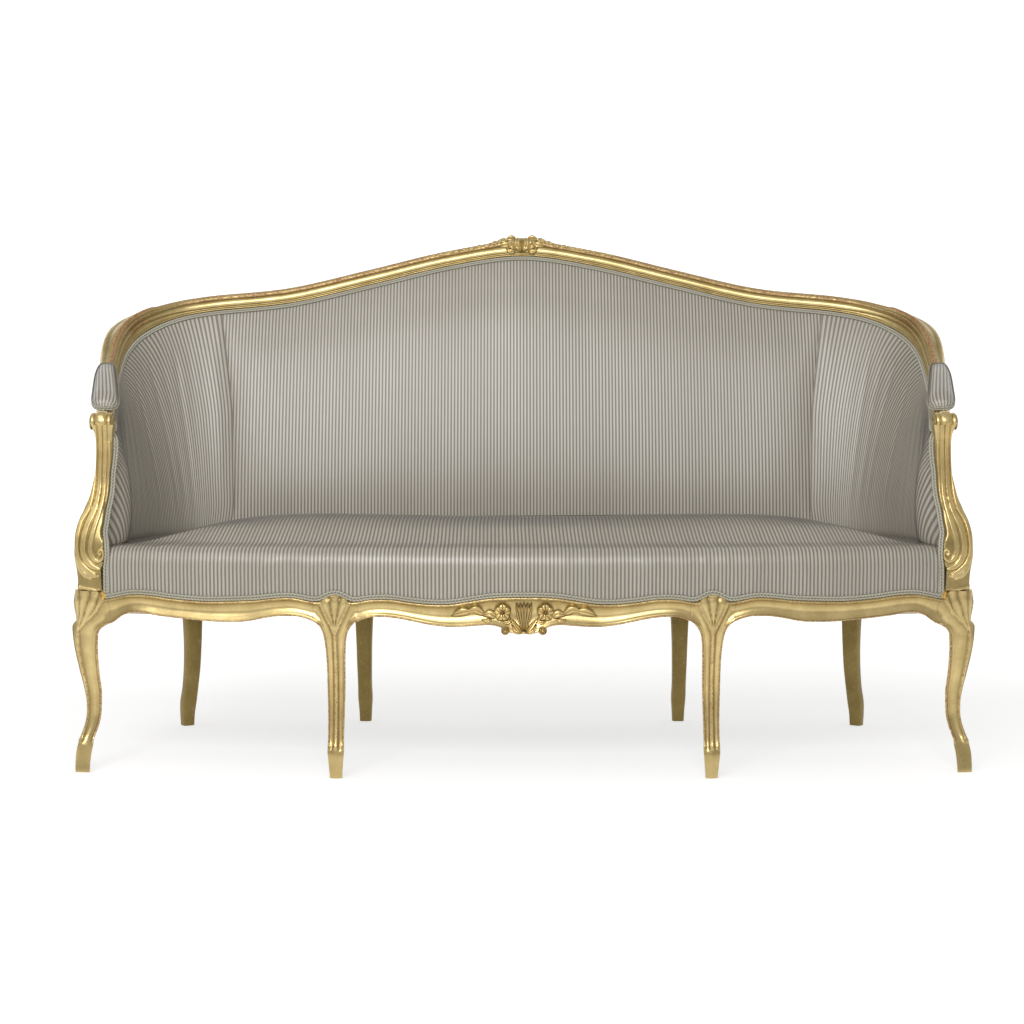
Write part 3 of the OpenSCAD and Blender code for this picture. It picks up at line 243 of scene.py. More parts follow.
def mirrored(part):
    """The same solid on the left of the sofa."""
    pts = np.asarray(part[0], float) * (-1, 1, 1)
    return (pts, [tuple(f)[::-1] for f in part[1]]) + tuple(part[2:3])


def piece(name, part, material, slot_name, nodes=(), sharp=40, closed=True):
    """One named piece of the sofa from (points, faces, marks)."""
    mesh = bpy.data.meshes.new(name)
    faces = [tuple(int(k) for k in f) for f in part[1]]
    mesh.from_pydata([tuple(p) for p in part[0]], [], faces)
    for key, values in (part[2] if len(part) > 2 else {}).items():
        mark = mesh.attributes.new(key, "FLOAT", "POINT")
        mark.data.foreach_set("value", np.asarray(values, np.float32))
    if closed:
        bm = bmesh.new()
        bm.from_mesh(mesh)
        bmesh.ops.recalc_face_normals(bm, faces=bm.faces)
        bm.to_mesh(mesh)
        bm.free()
    mesh.shade_smooth()
    if sharp:
        mesh.set_sharp_from_angle(angle=math.radians(sharp))
    mesh.materials.append(material)
    obj = bpy.data.objects.new(name, mesh)
    bpy.context.collection.objects.link(obj)
    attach(obj, "root")
    if nodes:
        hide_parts(*nodes)
    return obj


def both_sides(name, part, material, slot_name, nodes=(), **how):
    """The right-hand piece and its mirror image on the left."""
    made = []
    for side, shape in (("right", part), ("left", mirrored(part))):
        replaced = [f"{n}_{side}" for n in nodes]
        made.append(piece(f"{name}_{side}", shape, material, slot_name, replaced, **how))
    return made


# Shader nodes
def put(tree, kind, inputs=None, **settings):
    """One shader node with its settings and inputs; a socket given as an input is linked."""
    made = tree.nodes.new(kind)
    for key, value in settings.items():
        setattr(made, key, value)
    for key, value in (inputs or {}).items():
        if isinstance(value, bpy.types.NodeSocket):
            tree.links.new(value, made.inputs[key])
        else:
            made.inputs[key].default_value = value
    return made


def maths(tree, operation, a, b=0.0, clamp=False):
    return put(tree, "ShaderNodeMath", {0: a, 1: b}, operation=operation, use_clamp=clamp).outputs[0]


def blended(tree, share, a, b):
    """Two colours mixed by a share."""
    return put(tree, "ShaderNodeMix", {0: share, 6: a, 7: b}, data_type="RGBA").outputs[2]


def stretched(tree, value, low, high, to_low=0.0, to_high=1.0):
    """A value mapped from one range to another and clamped."""
    inputs = {0: value, 1: low, 2: high, 3: to_low, 4: to_high}
    return put(tree, "ShaderNodeMapRange", inputs).outputs[0]


def colour(r, g, b):
    """A colour given as it looks on a screen, from 0 to 255."""
    line = [c / 255 for c in (r, g, b)]
    return tuple(c / 12.92 if c <= 0.04045 else ((c + 0.055) / 1.055) ** 2.4 for c in line) + (1.0,)


def shader_group(name, inputs, outputs):
    tree = bpy.data.node_groups.new(name, "ShaderNodeTree")
    for label, kind, value in inputs:
        socket = tree.interface.new_socket(label, in_out="INPUT", socket_type=kind)
        socket.default_value = value
    for label, kind in outputs:
        tree.interface.new_socket(label, in_out="OUTPUT", socket_type=kind)
    return tree, tree.nodes.new("NodeGroupInput").outputs, tree.nodes.new("NodeGroupOutput").inputs


def link_outputs(tree, ends, values):
    for label, value in values.items():
        tree.links.new(value, ends[label])


def noise(tree, where, scale, detail=4.0, rough=0.55):
    return put(tree, "ShaderNodeTexNoise", {"Vector": where, "Scale": scale, "Detail": detail,
                                            "Roughness": rough}).outputs["Fac"]


def object_place(tree):
    return put(tree, "ShaderNodeTexCoord").outputs["Object"]


def make_patina():
    """Worn leaf over bole, with painted highlights, and with dirt and painted shade: colour, a mask of the
    bare places and a fine height.
    """
    tree, given, ends = shader_group("patina", [
        ("Leaf", "NodeSocketColor", colour(230, 208, 140)),
        ("Shadow", "NodeSocketColor", colour(150, 134, 72)),
        ("Bole", "NodeSocketColor", colour(142, 92, 58)), ("Worn", "NodeSocketFloat", 0.0),
        ("Grime", "NodeSocketFloat", 0.0), ("Scale", "NodeSocketFloat", 30.0)],
        [("Color", "NodeSocketColor"), ("Bare", "NodeSocketFloat"), ("Height", "NodeSocketFloat")])
    where = object_place(tree)
    broad = noise(tree, where, given["Scale"], 5.0, 0.6)
    fine = noise(tree, where, maths(tree, "MULTIPLY", given["Scale"], 9.0), 4.0, 0.65)
    specks = noise(tree, where, maths(tree, "MULTIPLY", given["Scale"], 28.0), 2.0, 0.5)
    tone = blended(tree, stretched(tree, broad, 0.35, 0.72, 0.0, 0.55), given["Leaf"], given["Shadow"])
    # Painted highlights: the fine noise lightens patches of the leaf towards a pale highlight colour.
    leaf = blended(tree, stretched(tree, fine, 0.56, 0.74, 0.0, 0.35), tone, colour(250, 238, 196))
    # Dirt and painted shade: where the marked share is high, the leaf darkens towards a dark olive.
    dirt_and_shade_share = maths(tree, "MULTIPLY", given["Grime"], stretched(tree, fine, 0.2, 0.6, 0.7, 1.0), True)
    shaded = blended(tree, dirt_and_shade_share, leaf, colour(112, 92, 46))
    rubbed = maths(tree, "ADD", given["Worn"], stretched(tree, fine, 0.3, 0.75, -0.42, 0.3))
    lost = stretched(tree, specks, 0.66, 0.72, 0.0, 0.8)
    lost = maths(tree, "MULTIPLY", lost, 0.5)
    bare = maths(tree, "MAXIMUM", stretched(tree, rubbed, 0.42, 0.72), lost, True)
    relief = maths(tree, "ADD", maths(tree, "MULTIPLY", fine, 0.6), maths(tree, "MULTIPLY", broad, 0.4))
    link_outputs(tree, ends, {
        "Color": blended(tree, bare, shaded, given["Bole"]), "Bare": bare,
        "Height": maths(tree, "SUBTRACT", relief, bare)})
    return tree


def make_threads():
    """Plain woven threads across two directions: a mask of the raised threads and a height."""
    tree, given, ends = shader_group("threads", [
        ("Across", "NodeSocketFloat", 0.0), ("Along", "NodeSocketFloat", 0.0),
        ("Pitch", "NodeSocketFloat", 0.001), ("Slub", "NodeSocketFloat", 0.2)],
        [("Mask", "NodeSocketFloat"), ("Height", "NodeSocketFloat")])
    turns = maths(tree, "DIVIDE", math.pi, given["Pitch"])
    a = maths(tree, "SINE", maths(tree, "MULTIPLY", given["Across"], turns))
    b = maths(tree, "SINE", maths(tree, "MULTIPLY", given["Along"], turns))
    over = maths(tree, "MULTIPLY", a, b)
    where = put(tree, "ShaderNodeCombineXYZ", {"X": given["Across"], "Y": given["Along"]}).outputs[0]
    slub = noise(tree, where, 160.0, 3.0)
    slubs = maths(tree, "MULTIPLY", slub, given["Slub"])
    height = maths(tree, "ADD", maths(tree, "ABSOLUTE", over), slubs)
    link_outputs(tree, ends, {"Mask": stretched(tree, over, -0.5, 0.5), "Height": height})
    return tree


def make_fading():
    """Slow change of tone over cloth or wood: colour in, colour out."""
    tree, given, ends = shader_group("fading", [
        ("Color", "NodeSocketColor", (0.5, 0.5, 0.5, 1)), ("Dull", "NodeSocketColor", (0.3, 0.3, 0.3, 1)),
        ("Scale", "NodeSocketFloat", 3.0), ("Amount", "NodeSocketFloat", 0.2)],
        [("Color", "NodeSocketColor")])
    where = object_place(tree)
    slow = stretched(tree, noise(tree, where, given["Scale"], 3.0), 0.38, 0.66)
    share = maths(tree, "MULTIPLY", slow, given["Amount"], True)
    link_outputs(tree, ends, {"Color": blended(tree, share, given["Color"], given["Dull"])})
    return tree


PATINA, THREADS, FADING = make_patina(), make_threads(), make_fading()


def placed(tree, group, inputs):
    """The outputs of a node group put into a tree."""
    return put(tree, "ShaderNodeGroup", inputs, node_tree=group).outputs


def new_material(name):
    """A material with its node tree, its surface shader and its output."""
    made = bpy.data.materials.new(name)
    made.use_nodes = True
    tree = made.node_tree
    return made, tree, tree.nodes["Principled BSDF"].inputs


def marked(tree, name):
    """The value that a piece's points carry under a name."""
    return put(tree, "ShaderNodeAttribute", attribute_name=name).outputs["Fac"]


def bumped(tree, surface, height, distance, strength=1.0):
    bump = put(tree, "ShaderNodeBump", {"Height": height, "Distance": distance, "Strength": strength})
    tree.links.new(bump.outputs[0], surface["Normal"])


def gilding(name, leaf, shadow, bole, scale, metal, rough):
    made, tree, surface = new_material(name)
    coat = placed(tree, PATINA, {"Leaf": leaf, "Shadow": shadow, "Bole": bole, "Scale": scale,
                                 "Worn": marked(tree, "worn"), "Grime": marked(tree, "grime")})
    tree.links.new(coat["Color"], surface["Base Color"])
    tree.links.new(stretched(tree, coat["Bare"], 0.0, 1.0, metal, 0.15), surface["Metallic"])
    tree.links.new(stretched(tree, coat["Bare"], 0.0, 1.0, rough, 0.5), surface["Roughness"])
    bumped(tree, surface, coat["Height"], 0.0004, 0.5)
    return made


def striped_silk():
    """Narrow cream and taupe stripes in a smooth weave with a silky sheen, painted sheen streaks, and
    painted shade where the cloth is seen at a grazing angle.
    """
    made, tree, surface = new_material("striped_silk")
    across, along = marked(tree, "across"), marked(tree, "along")
    turn = maths(tree, "FRACT", maths(tree, "DIVIDE", across, STRIPE_PITCH))
    from_middle = maths(tree, "ABSOLUTE", maths(tree, "SUBTRACT", turn, 0.5))
    band = stretched(tree, from_middle, 0.20, 0.28)
    core = stretched(tree, from_middle, 0.43, 0.47)
    weave = placed(tree, THREADS, {"Across": across, "Along": along, "Pitch": 0.0006, "Slub": 0.5})
    cloth = blended(tree, band, colour(126, 118, 105), colour(200, 196, 184))
    cloth = blended(tree, maths(tree, "MULTIPLY", core, 0.5), cloth, colour(188, 183, 170))
    cloth = blended(tree, maths(tree, "MULTIPLY", weave["Mask"], 0.12), cloth, colour(112, 106, 95))
    # Painted sheen: random darker streaks drawn out along the cloth stand in for bands of silk sheen.
    drawn_out = maths(tree, "MULTIPLY", along, 0.16)
    drawn = put(tree, "ShaderNodeCombineXYZ", {"X": across, "Y": drawn_out}).outputs[0]
    painted_sheen_streaks = stretched(tree, noise(tree, drawn, 9.0, 3.0), 0.36, 0.66, 0.0, 0.42)
    cloth = blended(tree, painted_sheen_streaks, cloth, blended(tree, 0.45, cloth, colour(128, 121, 108)))
    aged = placed(tree, FADING, {"Color": cloth, "Dull": colour(146, 138, 124), "Scale": 2.2,
                                 "Amount": 0.24})
    # Painted shade: the colour darkens towards near black where the cloth is seen at a grazing angle, as on
    # the top of the seat.
    facing = put(tree, "ShaderNodeLayerWeight", {"Blend": 0.5}).outputs["Facing"]
    painted_grazing_shade = stretched(tree, facing, 0.70, 0.88, 0.0, 0.66)
    tree.links.new(blended(tree, painted_grazing_shade, aged["Color"], colour(14, 13, 11)), surface["Base Color"])
    tree.links.new(stretched(tree, band, 0.0, 1.0, 0.40, 0.30), surface["Roughness"])
    surface["Specular IOR Level"].default_value = 0.80
    surface["Sheen Weight"].default_value = 0.04
    surface["Sheen Roughness"].default_value = 0.45
    height = maths(tree, "ADD", maths(tree, "MULTIPLY", weave["Height"], 0.25), band)
    bumped(tree, surface, height, 0.00025, 0.6)
    return made


def green_braid():
    """Grey-green cords of a herringbone braid, with painted highlights on the humps and painted shade
    between them.
    """
    made, tree, surface = new_material("green_braid")
    hump = marked(tree, "hump")
    where = object_place(tree)
    strands = noise(tree, where, 900.0, 3.0)
    # Painted highlight and shade: the raised parts of the cords are lightened and the grooves darkened.
    raised = stretched(tree, hump, 0.15, 0.9)
    tone = blended(tree, raised, colour(112, 108, 92), colour(218, 215, 200))
    tone = blended(tree, stretched(tree, strands, 0.3, 0.7, 0.0, 0.3), tone, colour(164, 160, 140))
    aged = placed(tree, FADING, {"Color": tone, "Dull": colour(160, 154, 130), "Scale": 6.0,
                                 "Amount": 0.3})
    tree.links.new(aged["Color"], surface["Base Color"])
    surface["Roughness"].default_value = 0.8
    surface["Sheen Weight"].default_value = 0.2
    bumped(tree, surface, strands, 0.0003, 0.8)
    return made


def coarse_cloth(name, light, dark, pitch, tall):
    """Plain weave of coarse yarn that follows the object's own directions."""
    made, tree, surface = new_material(name)
    where = object_place(tree)
    axes = put(tree, "ShaderNodeSeparateXYZ", {0: where}).outputs
    second = maths(tree, "ADD", axes[1], axes[2])
    yarn = {"Across": axes[0], "Along": second, "Pitch": pitch, "Slub": 0.8}
    weave = placed(tree, THREADS, yarn)
    cloth = blended(tree, weave["Mask"], dark, light)
    aged = placed(tree, FADING, {"Color": cloth, "Dull": dark, "Scale": 9.0, "Amount": 0.35})
    tree.links.new(aged["Color"], surface["Base Color"])
    surface["Roughness"].default_value = 0.9
    surface["Sheen Weight"].default_value = 0.15
    bumped(tree, surface, weave["Height"], tall, 0.8)
    return made


def sawn_beech():
    """Plain beech with grain along the longest direction and short darker flecks."""
    made, tree, surface = new_material("sawn_beech")
    where = object_place(tree)
    drawn = put(tree, "ShaderNodeMapping", {"Vector": where, "Scale": (6.0, 6.0, 60.0)}).outputs[0]
    grain = noise(tree, drawn, 6.0, 6.0, 0.6)
    flecks = put(tree, "ShaderNodeMapping", {"Vector": where, "Scale": (90.0, 90.0, 700.0)}).outputs[0]
    fleck = stretched(tree, noise(tree, flecks, 3.0, 2.0), 0.6, 0.75)
    dark_grain = stretched(tree, grain, 0.3, 0.7)
    tone = blended(tree, dark_grain, colour(196, 158, 112), colour(164, 124, 82))
    tone = blended(tree, maths(tree, "MULTIPLY", fleck, 0.5), tone, colour(132, 92, 58))
    aged = placed(tree, FADING, {"Color": tone, "Dull": colour(140, 108, 74), "Scale": 5.0,
                                 "Amount": 0.4})
    tree.links.new(aged["Color"], surface["Base Color"])
    surface["Roughness"].default_value = 0.7
    bumped(tree, surface, grain, 0.0005, 0.4)
    return made


STRIPE_PITCH = 0.0073
GILT = gilding("gilt_leaf", colour(228, 204, 144), colour(166, 142, 84), colour(160, 112, 76),
               scale=26.0, metal=0.80, rough=0.30)
BACK_GILT = gilding("back_gilt_leaf", colour(176, 152, 86), colour(118, 98, 48), colour(120, 90, 58),
                    scale=20.0, metal=0.6, rough=0.44)
BEECH = sawn_beech()
SILK = striped_silk()
BRAID = green_braid()
WEBBING = coarse_cloth("jute_webbing", colour(186, 158, 116), colour(128, 100, 66),
                       pitch=0.0030, tall=0.0008)
HESSIAN = coarse_cloth("plain_hessian", colour(182, 156, 114), colour(112, 90, 60),
                       pitch=0.0018, tall=0.0005)
CALICO = coarse_cloth("calico_pad", colour(226, 218, 196), colour(188, 178, 152),
                      pitch=0.0008, tall=0.0002)
DUST_CLOTH = coarse_cloth("dark_lining", colour(66, 66, 68), colour(38, 38, 40),
                          pitch=0.0007, tall=0.0002)
FINISHES = {
    "gilt_wood": GILT, "back_gilt_wood": BACK_GILT, "beech_wood": BEECH, "striped_fabric": SILK,
    "gimp_braid": BRAID, "webbing": WEBBING, "hessian": HESSIAN, "stuffing": CALICO,
    "dust_cloth": DUST_CLOTH}

# Every piece of the frame that is carried over gets the finish of its slot
for part_row in frame["record"]["subparts"]:
    node_mesh = frame["nodes"][part_row["node"]].data
    node_mesh.materials.clear()
    node_mesh.materials.append(FINISHES[part_row["material_slot"]])


# Gilt frame: outlines of the moulded face, as rows of place along the face line and height
rail_top = curve([
    (0, 0.3418), (0.026, 0.3418), (0.063, 0.3399), (0.100, 0.3342), (0.137, 0.3286), (0.174, 0.3284),
    (0.211, 0.3318), (0.248, 0.3368), (0.286, 0.3362), (0.310, 0.332), (0.325, 0.331), (0.352, 0.331),
    (0.379, 0.331), (0.398, 0.3325), (0.436, 0.3392), (0.474, 0.3369), (0.512, 0.3329), (0.590, 0.3301),
    (0.628, 0.3314), (0.668, 0.3346), (0.707, 0.3394), (0.748, 0.3404), (0.789, 0.3325), (0.815, 0.328),
    (0.840, 0.328), (0.870, 0.331), (0.920, 0.3345), (1.1, 0.3345), (2.3, 0.3345)])
rail_low = curve([
    (0, 0.2752), (0.016, 0.2755), (0.030, 0.279), (0.044, 0.287), (0.063, 0.2912), (0.091, 0.2897),
    (0.118, 0.2877), (0.146, 0.2878), (0.174, 0.2911), (0.202, 0.2965), (0.230, 0.302), (0.258, 0.3052),
    (0.283, 0.3050), (0.300, 0.3005), (0.3105, 0.2966), (0.352, 0.290), (0.3935, 0.2966),
    (0.404, 0.3005), (0.427, 0.3055), (0.455, 0.3054), (0.484, 0.3015), (0.513, 0.2957),
    (0.542, 0.2932), (0.600, 0.2942), (0.688, 0.3021), (0.718, 0.3068), (0.745, 0.3078), (0.764, 0.301),
    (0.779, 0.2905), (0.7943, 0.2845), (0.8393, 0.280), (0.8843, 0.2845), (0.900, 0.2905),
    (0.920, 0.300), (0.945, 0.3065), (0.985, 0.3045), (1.06, 0.2975), (1.14, 0.2945), (1.23, 0.2975),
    (1.31, 0.3045), (1.345, 0.303), (1.36, 0.298), (1.396, 0.292), (1.431, 0.296), (1.50, 0.296),
    (2.3, 0.296)])
mid_half = curve([
    (0, 0.0115), (0.008, 0.0118), (0.044, 0.0150), (0.050, 0.0158), (0.060, 0.0153), (0.075, 0.0150),
    (0.120, 0.0156), (0.165, 0.0168), (0.200, 0.0173), (0.222, 0.0177), (0.250, 0.0195),
    (0.272, 0.0228), (0.284, 0.0272), (0.290, 0.0320), (0.2940, 0.0375), (0.2966, 0.0420),
    (0.2985, 0.0470)])
corner_half = curve([
    (0, 0.0155), (0.048, 0.0175), (0.063, 0.0180), (0.096, 0.0190), (0.153, 0.0195), (0.190, 0.0205),
    (0.235, 0.0240), (0.258, 0.0275), (0.272, 0.0325), (0.279, 0.0380), (0.2845, 0.0450),
    (0.287, 0.0500)])
MID_FLARE_Z, CORNER_FLARE_Z, LEG_TIP_Z = 0.2966, 0.2845, 0.056
RAIL_STEP, EDGE_STEP, FACE_ROWS = 0.0026, 0.006, 30

# The upper fillet turns down over each front leg into its middle ridge
VALLEY = [
    (0.0270, 0.331), (0.0212, 0.318), (0.0145, 0.303), (0.0080, 0.290), (0.0028, 0.279), (0.0, 0.270)]
CORNER_VALLEY = [
    (0.0335, 0.3275), (0.0250, 0.315), (0.0150, 0.298), (0.0070, 0.283), (0.0022, 0.274), (0.0, 0.266)]


def leg_edge(middle, half, side, top_z):
    z = np.linspace(0.0, top_z, 60)
    return np.stack([middle + side * half(z), z], -1)


def fillet_line(middle, valley, side):
    return np.array([(middle + side * a, z) for a, z in valley] + [(middle, LEG_TIP_Z)])


def edge_run(edge, low, high):
    """A length of the upper or lower edge of the rail's face."""
    s = np.linspace(low, high, max(3, int((high - low) / EDGE_STEP)))
    return np.stack([s, edge(s)], -1)


# Edges of the rail's face between the legs, then the edges and the middle ridges of the front legs
LOWER_EDGES = [
    edge_run(rail_low, -0.31, 0.31),
    edge_run(rail_low, S_MID + 0.042, S_CORNER - 0.045),
    edge_run(rail_low, S_CORNER + 0.045, SEAT_LEN)]
UPPER_EDGES = [
    edge_run(rail_top, -0.325, 0.325),
    edge_run(rail_top, 0.379, S_CORNER - 0.0335),
    edge_run(rail_top, S_CORNER + 0.0335, SEAT_LEN)]
for leg_side in (-1, 1):
    LOWER_EDGES.append(leg_edge(S_MID, mid_half, leg_side, MID_FLARE_Z))
    LOWER_EDGES.append(leg_edge(S_CORNER, corner_half, leg_side, CORNER_FLARE_Z))
    UPPER_EDGES.append(fillet_line(S_MID, VALLEY, leg_side))
    UPPER_EDGES.append(fillet_line(S_CORNER, CORNER_VALLEY, leg_side))


EDGE_REACH, BATCH = 0.07, 6000


def distance_to(lines, s, z):
    """Shortest distance in the unrolled face from points to the nearest of several lines."""
    s, z = np.asarray(s, float), np.asarray(z, float)
    flat = np.stack([s.ravel(), z.ravel()], -1)
    best = np.full(len(flat), 1.0)
    for line in lines:
        low, high = line.min(0) - EDGE_REACH, line.max(0) + EDGE_REACH
        near = np.flatnonzero(((flat > low) & (flat < high)).all(1))
        if not len(near):
            continue
        a, b = line[:-1][None], line[1:][None]
        for part in np.array_split(near, max(1, len(near) // BATCH)):
            p = flat[part][:, None]
            along = ((p - a) * (b - a)).sum(-1)
            t = np.clip(along / np.maximum(((b - a) ** 2).sum(-1), 1e-12), 0, 1)
            d = np.linalg.norm(p - a - (b - a) * t[..., None], axis=-1).min(1)
            best[part] = np.minimum(best[part], d)
    return best.reshape(s.shape)


LOW_BEAD, TOP_BEAD, BEAD_DEEP = 0.0030, 0.0040, 0.0012
HOLLOW_DEEP, HOLLOW_W = 0.0088, 0.045


def rounded_bead(away, width):
    """How far a bead's round face falls back across its width, from 0 at its middle to 1."""
    return 1 - np.sqrt(np.clip(1 - ((away - width / 2) / (width / 2)) ** 2, 0, 1))


def moulding(to_low, to_top):
    """Depth behind the face, bare high places, and dirt and painted shade in the grooves and the upper
    hollow, of the moulded band.
    """
    width = to_low + to_top
    share = np.clip((to_low - LOW_BEAD) / np.maximum(width - LOW_BEAD - TOP_BEAD, 1e-5), 0, 1)
    deep = HOLLOW_DEEP * np.clip(width / HOLLOW_W, 0, 1.15) ** 1.15
    hollow = deep * np.sin(math.pi * share ** 1.12) ** 0.8
    in_hollow = (share > 0) & (share < 1)
    second = np.exp(-((to_low - LOW_BEAD - 0.0022) / 0.0009) ** 2) * 0.0007
    top_round = rounded_bead(to_top, TOP_BEAD)
    bead = BEAD_DEEP * np.where(to_low < to_top, rounded_bead(to_low, LOW_BEAD), top_round)
    depth = np.where(in_hollow, hollow + 0.0010 - second, bead)
    worn = np.where(to_top < TOP_BEAD, 0.62 * (1 - top_round), 0.0)
    worn = np.maximum(worn, np.where(to_low < LOW_BEAD, 0.66, 0.0))
    # Dirt and painted shade: darker beside both beads and in the upper part of the hollow, which faces
    # down.
    grime = np.clip(1 - np.abs(to_low - LOW_BEAD) / 0.0018, 0, 1) * 0.7
    grime = np.maximum(grime, np.clip(1 - np.abs(to_top - TOP_BEAD) / 0.0022, 0, 1) * 0.8)
    grime = np.maximum(grime, np.where(in_hollow, 0.35 * ramp(share, 0.5, 0.95), 0.0))
    return depth, worn, grime


def inside_valley(away, z, valley):
    rows = np.array(valley)[::-1]
    half = np.interp(z, rows[:, 1], rows[:, 0], left=0.0, right=rows[-1, 0])
    return (z > rows[0, 1]) & (np.abs(away) < half)


# The fan of ribs on each front leg: height of its point, radius, number of ribs, spread
MID_FAN, CORNER_FAN, FAN_TALL = (0.2800, 0.0640, 5, 0.80), (0.250, 0.092, 5, 0.46), 0.0026


def fan(away, z, centre_z, radius, ribs, spread):
    """Convex ribs that spread from a point, with a scalloped rim."""
    r = np.hypot(away, z - centre_z)
    angle = np.arctan2(away, z - centre_z)
    turn = (angle / spread * 0.5 + 0.5) * ribs
    rib = np.abs(np.sin(math.pi * turn)) ** 0.6
    rim = ramp(r, radius * 0.98, radius * 0.80)
    depth = FAN_TALL * (1 - rib) * ramp(r, 0.003, 0.016) + FAN_TALL * 0.9 * (1 - rim) * (1 - rib * 0.4)
    worn = 0.5 * rib * ramp(r, radius * 0.5, radius)
    # The last value is dirt and painted shade between the ribs.
    return depth - 0.0012, worn, 0.9 * (1 - rib) * ramp(r, 0.002, 0.01)


def face_relief(s, z):
    """Depth, bare places, and dirt and painted shade in the hollows, anywhere on the front and sides of the
    frame.
    """
    to_top = distance_to(UPPER_EDGES, s, z)
    plain = moulding(distance_to(LOWER_EDGES, s, z), to_top)
    for middle, valley, fan_sizes in ((S_MID, VALLEY, MID_FAN), (S_CORNER, CORNER_VALLEY, CORNER_FAN)):
        away = s - middle
        inside = inside_valley(away, z, valley)
        inside |= (np.abs(away) < valley[0][0]) & (z > valley[0][1])
        blend_in = np.where(inside, ramp(to_top, 0.0004, 0.0022), 0.0)
        carved = fan(away, z, *fan_sizes)
        plain = [mix(a, b, blend_in) for a, b in zip(plain, carved)]
    depth, worn, grime = plain
    fades = [S_REAR_CORNER - REAR_HEAD_W, S_REAR_CORNER + REAR_HEAD_W / 2]
    fade = np.interp(s, fades, [1.0, 0.15])
    return depth * fade, worn * mix(0.5, 1, fade), grime * fade


def rail(s_from, s_to):
    """A length of the seat rail: moulded face, ledge, flat top, inner side and underside."""
    count = max(4, int(round((s_to - s_from) / RAIL_STEP)))
    s = np.linspace(s_from + JOINT_GAP, s_to - JOINT_GAP, count)[:, None]
    t = np.linspace(0, 1, FACE_ROWS)
    share = mix(t, 0.5 - 0.5 * np.cos(math.pi * t), 0.55)[None]
    low, high = rail_low(np.abs(s)), rail_top(np.abs(s))
    z = mix(low, high, share)
    depth, worn, grime = face_relief(np.abs(s) + 0 * z, z)
    face = on_seat(s + 0 * z, depth, z)
    corners = [(LEDGE_W, high), (LEDGE_W, DECK_H), (RAIL_T, DECK_H), (RAIL_T, UNDER_H),
               (RAIL_T * 0.55, UNDER_H - 0.002)]
    rest = np.concatenate([on_seat(s, d, z_at + 0 * s) for d, z_at in corners], 1)
    rings = np.concatenate([face, rest], 1)
    pad = np.zeros((count, len(corners)))
    points, faces = skin(rings)
    # The ledge, top, inner side and underside carry a fixed amount of dirt and painted shade.
    marks = {"worn": np.hstack([worn, pad]).ravel(), "grime": np.hstack([grime, pad + 0.25]).ravel()}
    return points, faces, marks


# Sweeps of the front legs: how far the face stands back, by height
mid_sweep = curve([
    (0, 0.0100), (0.021, 0.0074), (0.046, 0.0056), (0.077, 0.0144), (0.11, 0.0214), (0.148, 0.0250),
    (0.184, 0.0242), (0.222, 0.0176), (0.255, 0.0078), (0.281, 0.0008), (0.2966, 0.0), (0.36, 0.0)])
mid_depth = curve([
    (0, 0.0255), (0.04, 0.029), (0.054, 0.0285), (0.077, 0.0285), (0.148, 0.0315), (0.222, 0.034),
    (0.281, 0.036), (0.2966, 0.038), (0.36, 0.038)])
arris_x = curve([
    (0, 0.8555), (0.030, 0.8565), (0.048, 0.8545), (0.067, 0.8485), (0.090, 0.8415), (0.113, 0.8385),
    (0.151, 0.8400), (0.190, 0.8460), (0.235, 0.8520), (0.272, 0.8530), (0.300, 0.8500), (0.36, 0.8500)])
side_turn = curve([
    (0, 90), (0.048, 90), (0.067, 86), (0.113, 80), (0.151, 71), (0.190, 66), (0.235, 62), (0.272, 60),
    (0.36, 60)])
front_wide = curve([
    (0, 1.85), (0.045, 1.80), (0.067, 1.55), (0.114, 1.50), (0.160, 1.65), (0.205, 1.70), (0.250, 1.60),
    (0.285, 1.25), (0.36, 1.0)])
FRONT_TURN = math.radians(5)
HEAD_LOW, HEAD_HIGH = 0.258, 0.300


def mid_leg_point(away, depth, z):
    away, depth, z = np.broadcast_arrays(away, depth, z)
    p = on_seat(S_MID + away, depth, z)
    roof = 0.26 * np.abs(away) * ramp(z, 0.300, 0.262)
    p[..., 1] += mid_sweep(z) + roof * (depth < 0.020)
    return p


def corner_leg_point(away, depth, z):
    """A point of the corner leg: square below its head, and bent round the corner at the head."""
    away, depth, z = np.broadcast_arrays(away, depth, z)
    front = np.array([math.cos(FRONT_TURN), math.sin(FRONT_TURN)])
    turn = np.radians(side_turn(z))
    side = np.stack([np.cos(turn), np.sin(turn)], -1)
    x = arris_x(z)
    y = -0.290 + 0.9 * (0.856 - x) * ramp(z, 0.0, 0.06) - 0.012 * ramp(z, 0.05, 0.0)
    start = np.stack([x, y], -1)
    out_front = np.array([front[1], -front[0]])
    out_side = np.stack([side[..., 1], -side[..., 0]], -1)
    share = ramp(away, -0.004, 0.004)[..., None]
    out = unit(mix(out_front, out_side, share))
    along = np.where(away[..., None] < 0, front * (away * front_wide(z))[..., None],
                     side * away[..., None])
    shaft = start + along - out * depth[..., None]
    plump = 0.0125 * ramp(away, -0.022, 0.010) * ramp(away, 0.045, 0.026) * ramp(depth, 0.020, 0.008)
    head = on_seat(S_CORNER + away, depth - plump, z)[..., :2]
    on_corner = ramp(away, -0.030, -0.005) * ramp(away, 0.045, 0.025)
    joined_at = mix(HEAD_HIGH, 0.345, on_corner)
    share = np.clip((z - HEAD_LOW) / (joined_at - HEAD_LOW), 0, 1)
    share = share ** 2 * (3 - 2 * share)
    return np.concatenate([mix(shaft, head, share[..., None]), z[..., None]], -1)


LEG_ACROSS, LEG_BEHIND = 56, 14


